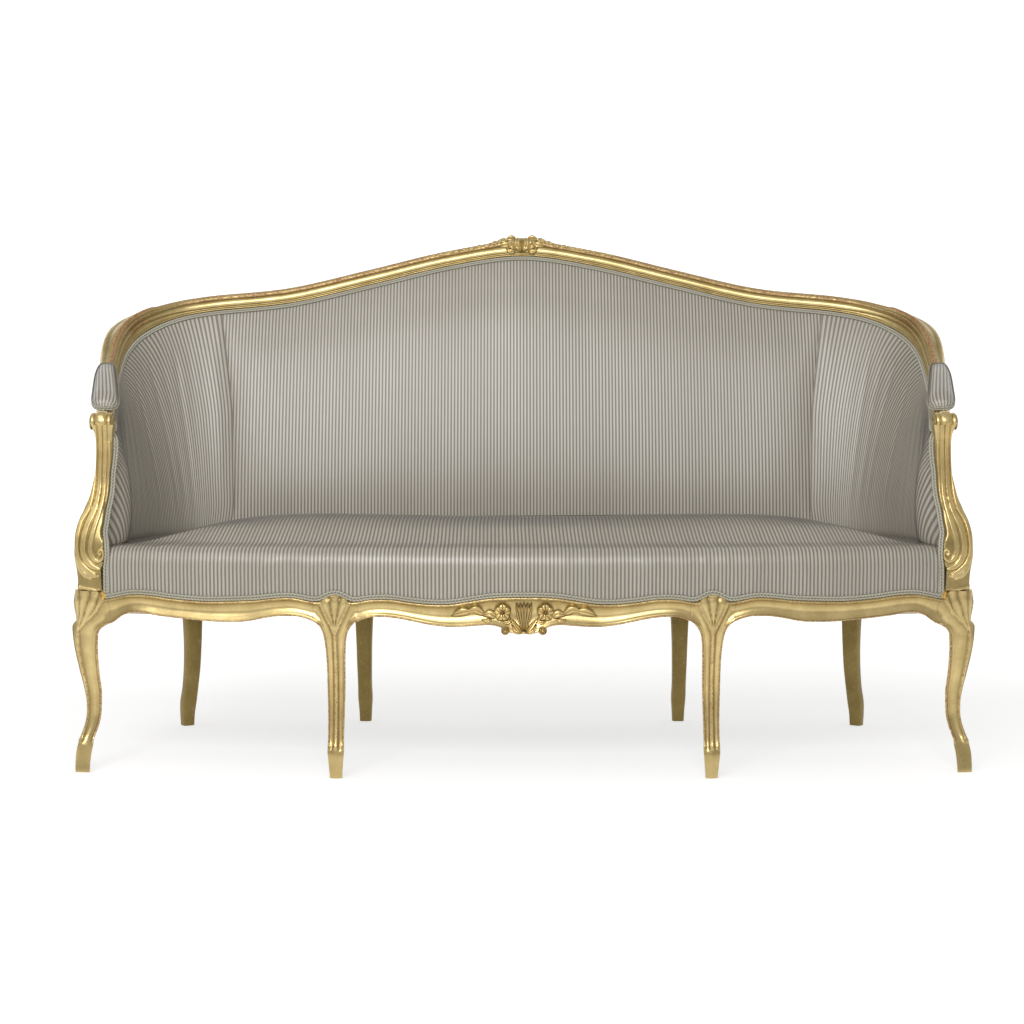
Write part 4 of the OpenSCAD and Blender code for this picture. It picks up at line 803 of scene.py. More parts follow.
def front_leg(middle, half, flare_z, head_half, dome, place, back_of):
    """A cabriole leg with its head in the rail: closed rows from the floor to the rail's flat top."""
    count, n_back = LEG_ACROSS, LEG_BEHIND
    shaft_z = np.concatenate([np.linspace(0, 0.05, 16)[:-1], np.linspace(0.05, 0.245, 62)[:-1],
                              np.linspace(0.245, flare_z, 30)])
    t = np.linspace(-1, 1, count)
    across = mix(t, np.sin(t * math.pi / 2), 0.35)
    rows = []
    for z in shaft_z:
        away = across * min(float(half(z)), head_half)
        rows.append((away, np.full(count, z)))
    away = across * head_half
    high = np.maximum(rail_top(middle + away), dome(away))
    for share in np.linspace(0, 1, 34)[1:]:
        rows.append((away, mix(flare_z, high, share)))
    away_rows, z_rows = np.stack([r[0] for r in rows]), np.stack([r[1] for r in rows])
    depth, worn, grime = face_relief(middle + away_rows, z_rows)
    block = ramp(z_rows, LEG_TIP_Z + 0.002, LEG_TIP_Z - 0.004)
    depth, worn, grime = mix(depth, 0.0012, block), mix(worn, 0.15, block), mix(grime, 0.2, block)
    tip = np.exp(-((z_rows - LEG_TIP_Z - 0.004) / 0.004) ** 2) * 0.0012
    face = place(away_rows, depth - tip, z_rows)
    b = np.linspace(1, -1, n_back)
    limit = away_rows.max(1, keepdims=True)
    rounded = np.sign(b) * np.abs(b) ** 0.7
    back_shape = 1 - 0.22 * (1 - ramp(z_rows[:, :1], 0.262, 0.290)) * (np.abs(b) > 0.85)
    back_away = limit * rounded * mix(0.80, 1.0, ramp(z_rows[:, :1], 0.262, 0.292))
    mean_z = z_rows.mean(1, keepdims=True)
    back_z = np.where(mean_z > flare_z, np.maximum(mean_z, UNDER_H), mean_z)
    back = place(back_away, back_of(mean_z) * back_shape, back_z + 0 * back_away)
    rings = [np.concatenate([face, back], 1)]
    # The hidden back of the leg and the ledge rows carry a fixed amount of dirt and painted shade.
    marks = [np.stack([np.hstack([worn, np.full((len(rows), n_back), 0.12)]),
                       np.hstack([grime, np.full((len(rows), n_back), 0.3)])])]
    for d, z in ((LEDGE_W, high), (LEDGE_W, np.full(count, DECK_H))):
        front_part = place(away, np.full(count, d), z)
        back_part = place(head_half * rounded, np.full(n_back, RAIL_T), np.full(n_back, float(np.mean(z))))
        rings.append(np.concatenate([front_part, back_part])[None])
        marks.append(np.full((2, 1, count + n_back), 0.25))
    points, faces = skin(np.concatenate(rings))
    worn_all, dirt_and_shade_all = np.concatenate(marks, 1)
    return points, faces, {"worn": worn_all.ravel(), "grime": dirt_and_shade_all.ravel()}


def mid_dome(away):
    return 0.3115 + np.sqrt(np.clip(0.0335 ** 2 - away ** 2, 0, 1)) - 0.02 * (np.abs(away) > 0.028)


def corner_dome(away):
    return np.interp(away, [-0.034, -0.024, 0.05], [0.3300, 0.3460, 0.3480])


# Rows of a rear leg: height, sweep, width and depth, as shares
REAR_ROWS = [
    (0, -0.9, 0.62, 0.62), (0.09, -0.95, 0.68, 0.70), (0.18, -0.8, 0.76, 0.76),
    (0.3, -0.35, 0.74, 0.74), (0.45, 0, 0.78, 0.76), (0.62, 0.15, 0.84, 0.78), (0.8, 0.15, 0.96, 0.78),
    (0.95, 0.1, 1.10, 0.72), (1.06, 0.12, 1.35, 0.68)]


REAR_LEG_W, REAR_LEG_SWEEP, REAR_LEG_SET_BACK, HEAD_JOINT = 0.042, 0.026, 0.003, 0.010


def squared(wave):
    """A sine or cosine that draws a square with soft corners instead of a circle."""
    return np.sign(wave) * np.abs(wave) ** 0.55 * 0.5


def rear_leg(s, turn):
    """The plain shaft of a rear leg, from the floor into its head."""
    rows = spline(REAR_ROWS, steps=10)
    angle = math.radians(turn)
    front = np.array([math.sin(angle), -math.cos(angle)])
    across = np.array([math.cos(angle), math.sin(angle)])
    start = on_seat(s, REAR_LEG_SET_BACK, 0.0)[:2]
    turns = np.linspace(0, 2 * math.pi, 40, endpoint=False)
    p_a, p_b = squared(np.cos(turns)), squared(np.sin(turns)) + 0.5
    rings = []
    for z, back, wide, deep in rows:
        c = start - front * back * REAR_LEG_SWEEP
        xy = c + np.outer(p_a * wide * REAR_LEG_W, across) - np.outer(p_b * deep * REAR_LEG_W, front)
        rings.append(np.column_stack([xy, np.full(len(xy), z * (UNDER_H - HEAD_JOINT))]))
    points, faces = skin(np.array(rings))
    # A fixed amount of dirt and painted shade over the whole leg.
    return points, faces, {"worn": np.full(len(points), 0.1), "grime": np.full(len(points), 0.3)}


# Posts of the back: depths of their outer and inner faces, and half their width in stations
POST_A = -0.46 * TOP_RAIL_T
POST_B = POST_A + POST_T
POST_HALF = 0.022 / BACK_SPAN
POST_FOOT_V, POST_TOP_V = -0.02, 0.997


def rear_post(s, turn):
    """A rear leg with its head in the seat rail and the post of the back above it."""
    middle = (SEAT_LEN - s) / BACK_SPAN
    w = np.linspace(middle - POST_HALF, middle + POST_HALF, 8)[:, None]
    v = mix(POST_FOOT_V, POST_TOP_V, np.linspace(0, 1, 12))[None]
    outer, inner = back_point(w, v, POST_A), back_point(w, v, POST_B)
    points, faces = skin(np.concatenate([outer, inner[:, ::-1]], 1))
    head = rail(s - REAR_HEAD_W / 2, s + REAR_HEAD_W / 2)
    # The post carries a fixed amount of dirt and painted shade.
    return joined([head, rear_leg(s, turn), (points, faces, {"worn": 0.1, "grime": 0.2})])


def make_seat_frame():
    centre = rail(-(S_MID - MID_HEAD_W / 2), S_MID - MID_HEAD_W / 2)
    piece("front_rail_centre_moulded", centre, GILT, "gilt_wood", ["front_rail_centre"])
    both_sides("front_rail_moulded", rail(S_MID + MID_HEAD_W / 2, S_CORNER - CORNER_HEAD_W),
               GILT, "gilt_wood", ["front_rail"])
    both_sides("side_rail_moulded", rail(S_CORNER + CORNER_HEAD_W, S_REAR_CORNER - REAR_HEAD_W / 2),
               GILT, "gilt_wood", ["side_rail"])
    both_sides("rear_rail_shaped", rail(S_REAR_CORNER + REAR_HEAD_W / 2, S_REAR_MID - REAR_HEAD_W / 2),
               BACK_GILT, "back_gilt_wood", ["rear_rail"])
    back = rail(S_REAR_MID + REAR_HEAD_W / 2, SEAT_LEN)
    whole = joined([back, mirrored(back)])
    piece("rear_rail_centre_shaped", whole, BACK_GILT, "back_gilt_wood", ["rear_rail_centre"])
    mid = front_leg(S_MID, mid_half, MID_FLARE_Z, MID_HEAD_W / 2 - JOINT_GAP, mid_dome,
                    mid_leg_point, mid_depth)
    both_sides("front_mid_leg_carved", mid, GILT, "gilt_wood", ["front_mid_leg"])
    corner = front_leg(S_CORNER, corner_half, CORNER_FLARE_Z, CORNER_HEAD_W - JOINT_GAP, corner_dome,
                       corner_leg_point, lambda z: mid_depth(z) * 0.80)
    both_sides("front_corner_leg_carved", corner, GILT, "gilt_wood", ["front_corner_leg"])
    both_sides("rear_mid_post_shaped", rear_post(S_REAR_MID, 180), BACK_GILT, "back_gilt_wood",
               ["rear_mid_post"])
    both_sides("rear_corner_post_shaped", rear_post(S_REAR_CORNER, 145), BACK_GILT, "back_gilt_wood",
               ["rear_corner_post"])


make_seat_frame()


# Top rail: section points outward and upward from its middle, in millimetres, from the inner foot
# over the top
BACK_SECTION = [
    (-14.5, -17.0), (-16.8, -16.6), (-17.6, -15.4), (-16.9, -14.2), (-15.9, -13.8), (-17.3, -13.2),
    (-18.0, -12.0), (-17.3, -10.8), (-16.0, -10.2), (-17.2, -9.2), (-17.9, -6.6), (-17.8, -3.4),
    (-16.9, -0.2), (-15.4, 2.6), (-13.2, 4.6), (-12.6, 5.3), (-13.9, 6.4), (-14.4, 8.6), (-13.6, 11.4),
    (-11.4, 14.2), (-7.8, 16.4), (-3.0, 17.2), (3.0, 17.0), (9.0, 15.7), (14.0, 12.2), (17.3, 6.5),
    (18.0, 0.0), (18.0, -9.0), (16.8, -14.4), (13.7, -17.0)]
SHOULDER_SECTION = [
    (-14.5, -17.0), (-17.0, -16.4), (-17.8, -15.0), (-17.2, -13.6), (-16.0, -12.6), (-14.6, -10.6),
    (-13.6, -8.0), (-13.2, -5.2), (-13.6, -2.6), (-14.8, -0.6), (-16.2, 0.6), (-16.4, 2.6),
    (-15.2, 4.2), (-12.6, 4.2), (-11.4, 5.4), (-12.6, 7.2), (-12.4, 9.6), (-10.6, 10.8), (-7.6, 10.2),
    (-6.8, 12.2), (-6.6, 14.8), (-3.6, 16.8), (1.5, 16.6), (5.0, 13.8), (9.5, 14.4), (14.6, 11.2),
    (18.0, 3.0), (18.0, -9.0), (16.8, -14.4), (13.7, -17.0)]
# Bare places, and dirt and painted shade in the grooves, of the two sections, by point
BACK_WORN = [
    0, .2, .3, .1, 0, .2, .35, .1, 0, 0, .1, .1, .1, 0, 0, 0, .5, .7, .65, .6, .7, .65, .55, .4, .2, .1,
    0, 0, 0, 0]
BACK_DIRT_AND_SHADE = [
    .5, 0, 0, .4, .9, .3, 0, .4, 1, .3, 0, 0, 0, .2, .6, 1, .4, 0, 0, 0, 0, 0, 0, .1, .2, .3, .3, .4,
    .5, .6]
SHOULDER_WORN = [
    0, .2, .3, .1, 0, 0, 0, 0, 0, .2, .75, .8, .2, 0, .2, .8, .8, .2, 0, .3, .8, .8, .4, 0, .5, .4, .1,
    0, 0, 0]
SHOULDER_DIRT_AND_SHADE = [
    .5, 0, 0, .3, .5, .3, .2, .1, .1, .1, 0, 0, .5, 1, .6, 0, 0, .5, 1, .4, 0, 0, .3, .8, .1, 0, .2, .4,
    .5, .6]
U_CREST, U_ARM, TOP_STEP = 0.43 * TOP_LEN, 0.8 * TOP_LEN, 0.006
shoulder_lift = curve([
    (0, 0), (0.52, 0), (0.60, 0.0060), (0.66, 0.0075), (0.72, 0.0035), (0.78, 0), (1.1, 0)])
shoulder_swell = curve([
    (0, 0), (0.56, 0), (0.62, 0.0080), (0.67, 0.0140), (0.72, 0.0090), (0.78, 0.0020), (0.82, 0),
    (1.1, 0)])
crest_lift = curve([(0, 1.0), (0.0315, 0.9), (0.063, 0.35), (0.090, 0.0), (0.2, 0.0)])


def closed_spline(rows):
    p = np.array(rows, float).reshape(len(rows), -1)
    return spline(np.vstack([p, p[:1]]), p[-1], p[1], 4)[:-1]


def top_section(u):
    """Points, bare places, and dirt and painted shade in the grooves, of the top rail's section at stations
    along it.
    """
    away = np.abs(u)
    share = ramp(away, 0.50 * TOP_LEN, 0.66 * TOP_LEN) * (1 - 0.35 * ramp(away, 0.90, 1.0))
    pairs = ((BACK_SECTION, SHOULDER_SECTION), (BACK_WORN, SHOULDER_WORN), (BACK_DIRT_AND_SHADE, SHOULDER_DIRT_AND_SHADE))
    section, worn, grime = [
        mix(closed_spline(back)[None], closed_spline(shoulder)[None], share[:, None, None])
        for back, shoulder in pairs]
    return section / 1000, worn[..., 0], grime[..., 0]


def top_run_of_rail(u_from, u_to):
    """A length of the top rail or the arm between two places along its middle line."""
    count = max(4, int(round((u_to - u_from) / TOP_STEP)))
    u = np.linspace(u_from + JOINT_GAP, u_to - JOINT_GAP, count)
    c, out, up = top_frame(u)
    section, worn, grime = top_section(u)
    far = np.abs(u)[:, None] / TOP_LEN
    upper_half = np.clip(2 * section[..., 1] / TOP_RAIL_H, 0, 1)
    lift = CREST_RISE * crest_lift(np.abs(u))[:, None] * upper_half + shoulder_lift(far) * upper_half
    wide = section[..., 0] + shoulder_swell(far) * np.clip(section[..., 0] / 0.012, 0, 1)
    rings = c[:, None] + out[:, None] * wide[..., None] + up[:, None] * (section[..., 1] + lift)[..., None]
    points, faces = skin(rings)
    return points, faces, {"worn": worn.ravel(), "grime": grime.ravel()}


# Carving: leaves laid on a carved face. where(a, b, lift) gives the point above a place of that face
def leaf(where, path, width, tall, lobes=0, groove=0.35, count=26, across=11, worn=0.45, fat=0.75):
    """A leaf with a middle groove along a path; lobes make its edge wavy."""
    line = spline(path, steps=16)
    share = lengths(line) / lengths(line)[-1]
    t = np.linspace(0, 1, count)
    mid = np.stack([np.interp(t, share, line[:, k]) for k in range(2)], -1)
    along = unit(np.gradient(mid, axis=0))
    side = np.stack([-along[:, 1], along[:, 0]], -1)
    half = width / 2 * np.sin(math.pi * np.clip(t, 0.03, 0.985) ** fat) ** 0.8
    half = half * (1 + 0.14 * np.cos(2 * math.pi * lobes * t)) if lobes else half
    c = np.linspace(-1, 1, across)[None]
    rise = np.sin(math.pi * np.clip(t, 0.05, 0.97)[:, None] ** 0.8) ** 0.5
    round_off = np.sqrt(np.clip(1 - np.abs(c) ** 2.6, 0, 1)) * rise
    vein = 1 - groove * np.exp(-(c / 0.16) ** 2)
    ribs = 1 - (0.18 * np.cos(2 * math.pi * (lobes * t[:, None] - 0.35 * np.abs(c))) if lobes else 0)
    lift = tall * round_off * vein * ribs
    spot = mid[:, None] + side[:, None] * (c * half[:, None])[..., None]
    upper = where(spot[..., 0], spot[..., 1], lift - 0.0002)
    lower = where(spot[..., 0], spot[..., 1], np.full_like(lift, -0.0022))[:, ::-1]
    points, faces = skin(np.concatenate([upper, lower], 1))
    bare = np.hstack([worn * np.clip(lift / tall, 0, 1), np.zeros_like(lift)])
    # Dirt and painted shade: darker at the low edges and the middle groove, and on the underside.
    leaf_dirt_and_shade = np.hstack([np.clip(1.1 - lift / tall * 1.6, 0, 1), np.ones_like(lift) * 0.9])
    return points, faces, {"worn": bare.ravel(), "grime": leaf_dirt_and_shade.ravel()}


def boss(where, a, b, radius, tall, swirl=0.0, rings=12, count=28):
    """A round button on a carved face; swirl cuts a spiral groove into it."""
    r = np.sin(np.linspace(0, math.pi / 2, rings))[:, None]
    turn = np.linspace(0, 2 * math.pi, count, endpoint=False)[None]
    lift = tall * np.sqrt(np.clip(1 - (r * 0.98) ** 2, 0, 1))
    groove = np.sin(turn - r * 9) ** 2 * swirl * tall * (r < 0.9) * (r > 0.15)
    heights = lift - groove
    points = where(a + radius * r * np.cos(turn), b + radius * r * np.sin(turn), heights)
    foot = where(a + radius * np.cos(turn), b + radius * np.sin(turn), np.full_like(turn, -0.002))
    rows = np.concatenate([points, foot], 0)
    points, faces = skin(rows)
    worn = np.concatenate([np.broadcast_to(0.5 * (1 - r), heights.shape), np.zeros_like(turn)])
    # Dirt and painted shade in the spiral groove and at the foot.
    grime = np.concatenate([groove / max(tall, 1e-6) * 2 + 0 * turn, np.ones_like(turn)])
    return points, faces, {"worn": worn.ravel(), "grime": grime.ravel()}


def on_apron(a, b, lift):
    """A place on the moulded face of the front rail."""
    a, b, lift = np.broadcast_arrays(a, b, lift)
    low, high = rail_low(np.abs(a)), rail_top(np.abs(a))
    share = np.clip((b - low) / (high - low), 0, 1)
    ground = 0.0012 + 0.0070 * np.sin(math.pi * share) ** 0.8
    return on_seat(a, ground - lift, b)


def on_crest(a, b, lift):
    """A place on the inner face of the top rail: along it, up from its middle."""
    a, b, lift = np.broadcast_arrays(a, b, lift)
    section = np.array(BACK_SECTION[9:22]) / 1000
    ground = -np.interp(b, section[:, 1], section[:, 0])
    c, out, up = top_frame(a)
    height = b + CREST_RISE * crest_lift(np.abs(a)) * np.clip(b / (TOP_RAIL_H / 2), 0, 1)
    return c - out * (ground + lift)[..., None] + up * height[..., None]


def paired(where, rows, **how):
    """Leaves given on the right, with their mirror images on the left."""
    made = []
    for path, width, tall, lobes in rows:
        shape = leaf(where, path, width, tall, lobes, **how)
        made += [shape, mirrored(shape)]
    return made


def apron_carving():
    """Palmette over a tab between two flowers, each with a trail of leaves and a scroll below."""
    made = []
    for k in range(3):
        path = [(0.0014 * k, 0.2765), (0.0040 * k, 0.303), (0.0074 * k, 0.3345 - 0.0012 * k)]
        shape = leaf(on_apron, path, 0.0100, 0.0084, 0, groove=0.45, count=40, fat=1.25)
        made += [shape] if k == 0 else [shape, mirrored(shape)]
    rows = [([(0.0040, 0.2765), (0.0150, 0.2900), (0.0270, 0.3060)], 0.0095, 0.0064, 0),
            ([(0.0050, 0.2755), (0.0165, 0.2800), (0.0240, 0.2930)], 0.0080, 0.0056, 0),
            ([(0.0250, 0.3020), (0.0300, 0.2960), (0.0420, 0.2980)], 0.0080, 0.0050, 0),
            ([(0.0520, 0.3060), (0.0640, 0.3120), (0.0780, 0.3085)], 0.0155, 0.0068, 0),
            ([(0.0740, 0.3110), (0.0900, 0.3195), (0.1070, 0.3150)], 0.0155, 0.0070, 0),
            ([(0.0980, 0.3165), (0.1160, 0.3150), (0.1360, 0.3070)], 0.0155, 0.0068, 0),
            ([(0.0600, 0.3010), (0.0700, 0.2990), (0.0800, 0.3010)], 0.0080, 0.0046, 0)]
    made += paired(on_apron, rows)
    flower, petals = (0.0398, 0.3140), 5
    for k in range(petals):
        angle = math.radians(90 + 360 / petals * k)
        root, tip = [(flower[0] + r * math.cos(angle), flower[1] + r * math.sin(angle))
                     for r in (0.0010, 0.0165)]
        middle = ((root[0] + tip[0]) / 2, (root[1] + tip[1]) / 2)
        petal = leaf(on_apron, [root, middle, tip], 0.0170, 0.0070, 0, 0.4, 20, fat=1.4)
        made += [petal, mirrored(petal)]
    for a, b, radius, tall in (flower + (0.0040, 0.0088), (0.0345, 0.2810, 0.0080, 0.0074)):
        button = boss(on_apron, a, b, radius, tall, 0.35)
        made += [button, mirrored(button)]
    return joined(made)


def crest_carving():
    """A folded middle leaf between two lobed leaves, with foliage along the top fillet."""
    made = []
    for side_bend in (-1, 1):
        path = [(side_bend * 0.0080, 0.0180), (side_bend * 0.0100, 0.0050), (side_bend * 0.0010, -0.0105)]
        made.append(leaf(on_crest, path, 0.0170, 0.0095, 0, 0.2, 26))
    made.append(leaf(on_crest, [(0.0, 0.0150), (0.0, 0.0040), (0.0, -0.0080)], 0.0070, 0.0070, 0, 0.5, 22))
    rows = [([(0.0120, -0.0060), (0.0190, 0.0050), (0.0330, 0.0130)], 0.0220, 0.0085, 3),
            ([(0.0140, -0.0080), (0.0260, -0.0070), (0.0370, 0.0020)], 0.0130, 0.0070, 0),
            ([(0.0130, 0.0170), (0.0240, 0.0185), (0.0360, 0.0150)], 0.0120, 0.0065, 0),
            ([(0.0260, 0.0060), (0.0380, 0.0080), (0.0510, 0.0050)], 0.0110, 0.0055, 0),
            ([(0.0300, 0.0150), (0.0440, 0.0160), (0.0600, 0.0118)], 0.0100, 0.0048, 3)]
    for k in range(9):
        start = 0.050 + 0.0175 * k
        high = 0.0132 + 0.0016 * (-1) ** k
        small = 1 - 0.065 * k
        rows.append(([(start, 0.0125), (start + 0.009, high), (start + 0.021, 0.0118)],
                     0.0085 * small, 0.0036 * small, 2))
    made += paired(on_crest, rows)
    return joined(made)


# Arm supports: edges of the front face by height, and the ridges carved on it, on the sofa's right
support_outer = curve([
    (0.340, 0.8500), (0.362, 0.8485), (0.385, 0.8505), (0.408, 0.8545), (0.431, 0.8540),
    (0.454, 0.8535), (0.477, 0.8490), (0.500, 0.8410), (0.523, 0.8325), (0.5455, 0.8267),
    (0.568, 0.8220), (0.590, 0.8208), (0.614, 0.8203), (0.637, 0.8208), (0.652, 0.8240), (0.668, 0.8280)])
support_inner = curve([
    (0.340, 0.7985), (0.362, 0.8010), (0.385, 0.8016), (0.400, 0.7975), (0.420, 0.7955),
    (0.440, 0.7985), (0.455, 0.8035), (0.477, 0.8010), (0.500, 0.7995), (0.523, 0.7958),
    (0.5455, 0.7942), (0.568, 0.7938), (0.590, 0.7912), (0.614, 0.7889), (0.637, 0.7885),
    (0.652, 0.7870), (0.668, 0.7830)])
support_front = curve([
    (0.340, -0.3010), (0.380, -0.3005), (0.430, -0.2990), (0.470, -0.2900), (0.510, -0.2760),
    (0.550, -0.2650), (0.600, -0.2600), (0.640, -0.2610), (0.668, -0.2630)])
support_deep = curve([
    (0.340, 0.046), (0.400, 0.045), (0.440, 0.043), (0.480, 0.038), (0.530, 0.031), (0.570, 0.028),
    (0.610, 0.029), (0.640, 0.034), (0.668, 0.040)])
# Each ridge: points across and up, half widths along it, height
RIDGES = [
    ([(0.8225, 0.664), (0.8215, 0.630), (0.823, 0.576), (0.8245, 0.538), (0.8315, 0.504),
      (0.8435, 0.481), (0.850, 0.452), (0.8510, 0.424), (0.8445, 0.401), (0.830, 0.386), (0.814, 0.377)],
     [0.0042, 0.0042, 0.0042, 0.0046, 0.0054, 0.0062, 0.0064, 0.0066, 0.0064, 0.0056, 0.0036], 0.0040),
    ([(0.812, 0.664), (0.811, 0.630), (0.8125, 0.576), (0.8135, 0.534), (0.820, 0.500), (0.831, 0.473),
      (0.837, 0.446), (0.837, 0.423), (0.8300, 0.404), (0.8180, 0.3925), (0.805, 0.3885)],
     [0.0046, 0.0046, 0.0046, 0.0050, 0.0056, 0.0062, 0.0062, 0.0060, 0.0058, 0.0052, 0.0036], 0.0038),
    ([(0.801, 0.664), (0.8015, 0.630), (0.8025, 0.576), (0.8035, 0.528), (0.809, 0.496), (0.817, 0.467),
      (0.822, 0.441), (0.8225, 0.423), (0.8165, 0.4085), (0.807, 0.4035), (0.798, 0.410),
      (0.797, 0.420), (0.8035, 0.4255), (0.808, 0.4195), (0.8045, 0.4145)],
     [0.0044, 0.0044, 0.0044, 0.0048, 0.0054, 0.0056, 0.0054, 0.0050, 0.0046, 0.0040, 0.0034,
      0.0030, 0.0028, 0.0026, 0.0024], 0.0036),
    ([(0.7935, 0.628), (0.7935, 0.576), (0.7945, 0.528), (0.796, 0.492), (0.798, 0.462), (0.798, 0.440)],
     [0.0032, 0.0032, 0.0036, 0.0040, 0.0038, 0.0026], 0.0026),
    ([(0.850, 0.414), (0.845, 0.392), (0.834, 0.3765), (0.8195, 0.368)],
     [0.0020, 0.0040, 0.0046, 0.0014], 0.0034),
    ([(0.847, 0.396), (0.836, 0.380), (0.821, 0.374), (0.807, 0.3735)],
     [0.0020, 0.0034, 0.0036, 0.0014], 0.0028),
    ([(0.851, 0.356), (0.8365, 0.352), (0.817, 0.348), (0.799, 0.344)],
     [0.0030, 0.0034, 0.0034, 0.0030], 0.0026)]


def ridge_height(x, z):
    """Height of the highest ridge over the plain face, and a mask of its top."""
    flat = np.stack([x.ravel(), z.ravel()], -1)
    high, top = np.zeros(len(flat)), np.zeros(len(flat))
    for path, halves, tall in RIDGES:
        line = spline(path, steps=60)
        places = np.linspace(0, len(halves) - 1, len(line))
        width = np.interp(places, np.arange(len(halves)), halves)
        d = np.linalg.norm(flat[:, None] - line[None], axis=-1)
        nearest = d.argmin(1)
        share = np.clip(1 - (d.min(1) / width[nearest]) ** 2, 0, 1)
        height = tall * share ** 0.55 * (width[nearest] / max(halves)) ** 0.5
        top = np.where(height > high, share, top)
        high = np.maximum(high, height)
    return high.reshape(x.shape), top.reshape(x.shape)


SUPPORT_FROM_Z, SUPPORT_TO_Z, SUPPORT_TURN = 0.3475, 0.662, math.radians(6)


def arm_support():
    """The S-shaped arm support with its reeds, volute and leaf tips."""
    rows, count, sides = 240, 56, 14
    z = np.linspace(SUPPORT_FROM_Z, SUPPORT_TO_Z, rows)[:, None]
    t = np.linspace(0, 1, count)[None]
    outer, inner = support_outer(z), support_inner(z)
    x = mix(inner, outer, mix(t, 0.5 - 0.5 * np.cos(math.pi * t), 0.4))
    edge = np.clip(np.minimum(x - inner, outer - x) / 0.004, 0, 1)
    plain = 0.0048 - 0.0022 * np.sin(math.pi * np.clip((x - inner) / (outer - inner), 0, 1))
    depth_edge = 0.0030 * (1 - np.sqrt(np.clip(1 - (1 - edge) ** 2, 0, 1)))
    high, top = ridge_height(x, z + 0 * x)
    depth = np.clip(plain + depth_edge - high * 1.15, 0.0002, 1)
    slope = math.tan(SUPPORT_TURN)
    mid = (outer + inner) / 2
    y = support_front(z) + (x - mid) * slope + depth
    front = np.stack([x, y, z + 0 * x], -1)
    b = np.linspace(0, 1, sides)[None]
    deep = support_deep(z)
    side_x = mid + (outer - inner) / 2 * np.cos(math.pi * b) * mix(1, 0.9, np.sin(math.pi * b))
    reach = mix(0.35, 1.0, np.sin(math.pi * b) ** 0.6) * deep
    side_y = support_front(z) + (side_x - mid) * slope + reach
    back = np.stack([side_x, side_y, z + 0 * b], -1)
    points, faces = skin(np.concatenate([front, back], 1))
    worn = np.hstack([np.clip(0.42 * top ** 3 + 0.05, 0, 1), np.full(back.shape[:2], 0.15)])
    # Dirt and painted shade: darker between the ridges and on the hidden sides, with less of it on the
    # upper front.
    grime = np.hstack([np.clip(0.55 - top * 2.4, 0, 1), np.full(back.shape[:2], 0.3)])
    neck = ramp(z, 0.52, 0.60)
    grime[:, :count] *= 1 - 0.75 * neck
    return points, faces, {"worn": worn.ravel(), "grime": grime.ravel()}


# Outline of the arm's scroll: places along its axis and radii, in millimetres
SCROLL_LOBES = [
    (-21.5, 8.0), (-21.3, 15.0), (-19.5, 18.6), (-16.0, 19.8), (-13.2, 18.9), (-12.2, 18.2),
    (-11.0, 20.2), (-7.0, 22.4), (-1.0, 23.0), (5.0, 22.4), (9.0, 20.4), (10.2, 18.4), (10.9, 17.8),
    (12.2, 18.9), (15.5, 19.8), (19.0, 18.4), (21.2, 15.0), (21.5, 8.0)]
SCROLL_HALF, ARM_END = 0.0212, 0.012


def arm_scroll():
    """The roll of three lobes that ends the arm and runs down into the neck, with a spiral on each end."""
    line = spline(SCROLL_LOBES, steps=6) / 1000
    cx, cy = top_points[-1][0], top_points[-1][1]
    turn = np.linspace(0, 2 * math.pi, 72, endpoint=False)
    fall = np.clip(-np.cos(turn), 0, 1)
    rings = np.stack([np.stack([cx + a * (1 - 0.24 * fall) - 0.006 * fall, cy + r * np.sin(turn),
                                SCROLL_Z + r * np.cos(turn) * (1 + 0.8 * fall)], -1) for a, r in line])
    points, faces = skin(rings)
    radius = np.repeat(line[:, 1], len(turn)) * 1000
    # Dirt and painted shade in the grooves between the lobes.
    grime = 0.7 * np.clip((19.4 - radius) / 1.8, 0, 1) * (radius > 15)
    marks = {"worn": 0.35 * np.clip((radius - 21.0) / 2.0, 0, 1), "grime": grime}

    def on_end(side):
        def where(a, b, lift):
            return np.stack(np.broadcast_arrays(cx + side * (SCROLL_HALF + lift), cy + a, SCROLL_Z + b), -1)
        return where
    ends = [boss(on_end(side), 0.0, 0.0, 0.0135, 0.0022, 0.8, 26, 48) for side in (-1, 1)]
    return joined([(points, faces, marks)] + ends)


def make_top_frame():
    crest = joined([top_run_of_rail(-U_CREST, U_CREST), crest_carving()])
    piece("crest_rail_carved", crest, GILT, "gilt_wood", ["crest_rail"])
    both_sides("corner_rail_moulded", top_run_of_rail(U_CREST, U_ARM), GILT, "gilt_wood", ["corner_rail"])
    arm = joined([top_run_of_rail(U_ARM, TOP_LEN - ARM_END), arm_scroll()])
    both_sides("arm_rail_scrolled", arm, GILT, "gilt_wood", ["arm_rail"])
    both_sides("arm_support_reeded", arm_support(), GILT, "gilt_wood", ["arm_support"])
    piece("front_rail_carving", apron_carving(), GILT, "gilt_wood")


make_top_frame()


# Upholstery: depths of the layers in the back, counted inwards as in the source of the frame
SEAT_GAP, WEB_T, HESSIAN_T = 0.0003, 0.0015, 0.0010
WEB_RISE = WEB_T + SEAT_GAP
BACK_HESS_A = POST_B + SEAT_GAP + 2 * (WEB_T + LAYER_GAP)
PAD_A = BACK_HESS_A + HESSIAN_T + LAYER_GAP
WING_HESS_A = POST_B + 1.5 * LAYER_GAP
OUTER_A = POST_A - LAYER_GAP - COVER_T
OUTER_WING_A = OUTER_A - 1.5 * LAYER_GAP
WING_FROM_W, WING_TO_W = SEAM_W - 0.0015 / BACK_SPAN, 1.020
PAD_FOOT_Z, PAD_EDGE_A, PAD_TOP_GAP = 0.4290, 0.44 * TOP_RAIL_T, 2 * LAYER_GAP
HESSIAN_Z = DECK_H + WEB_RISE + WEB_T + SEAT_GAP
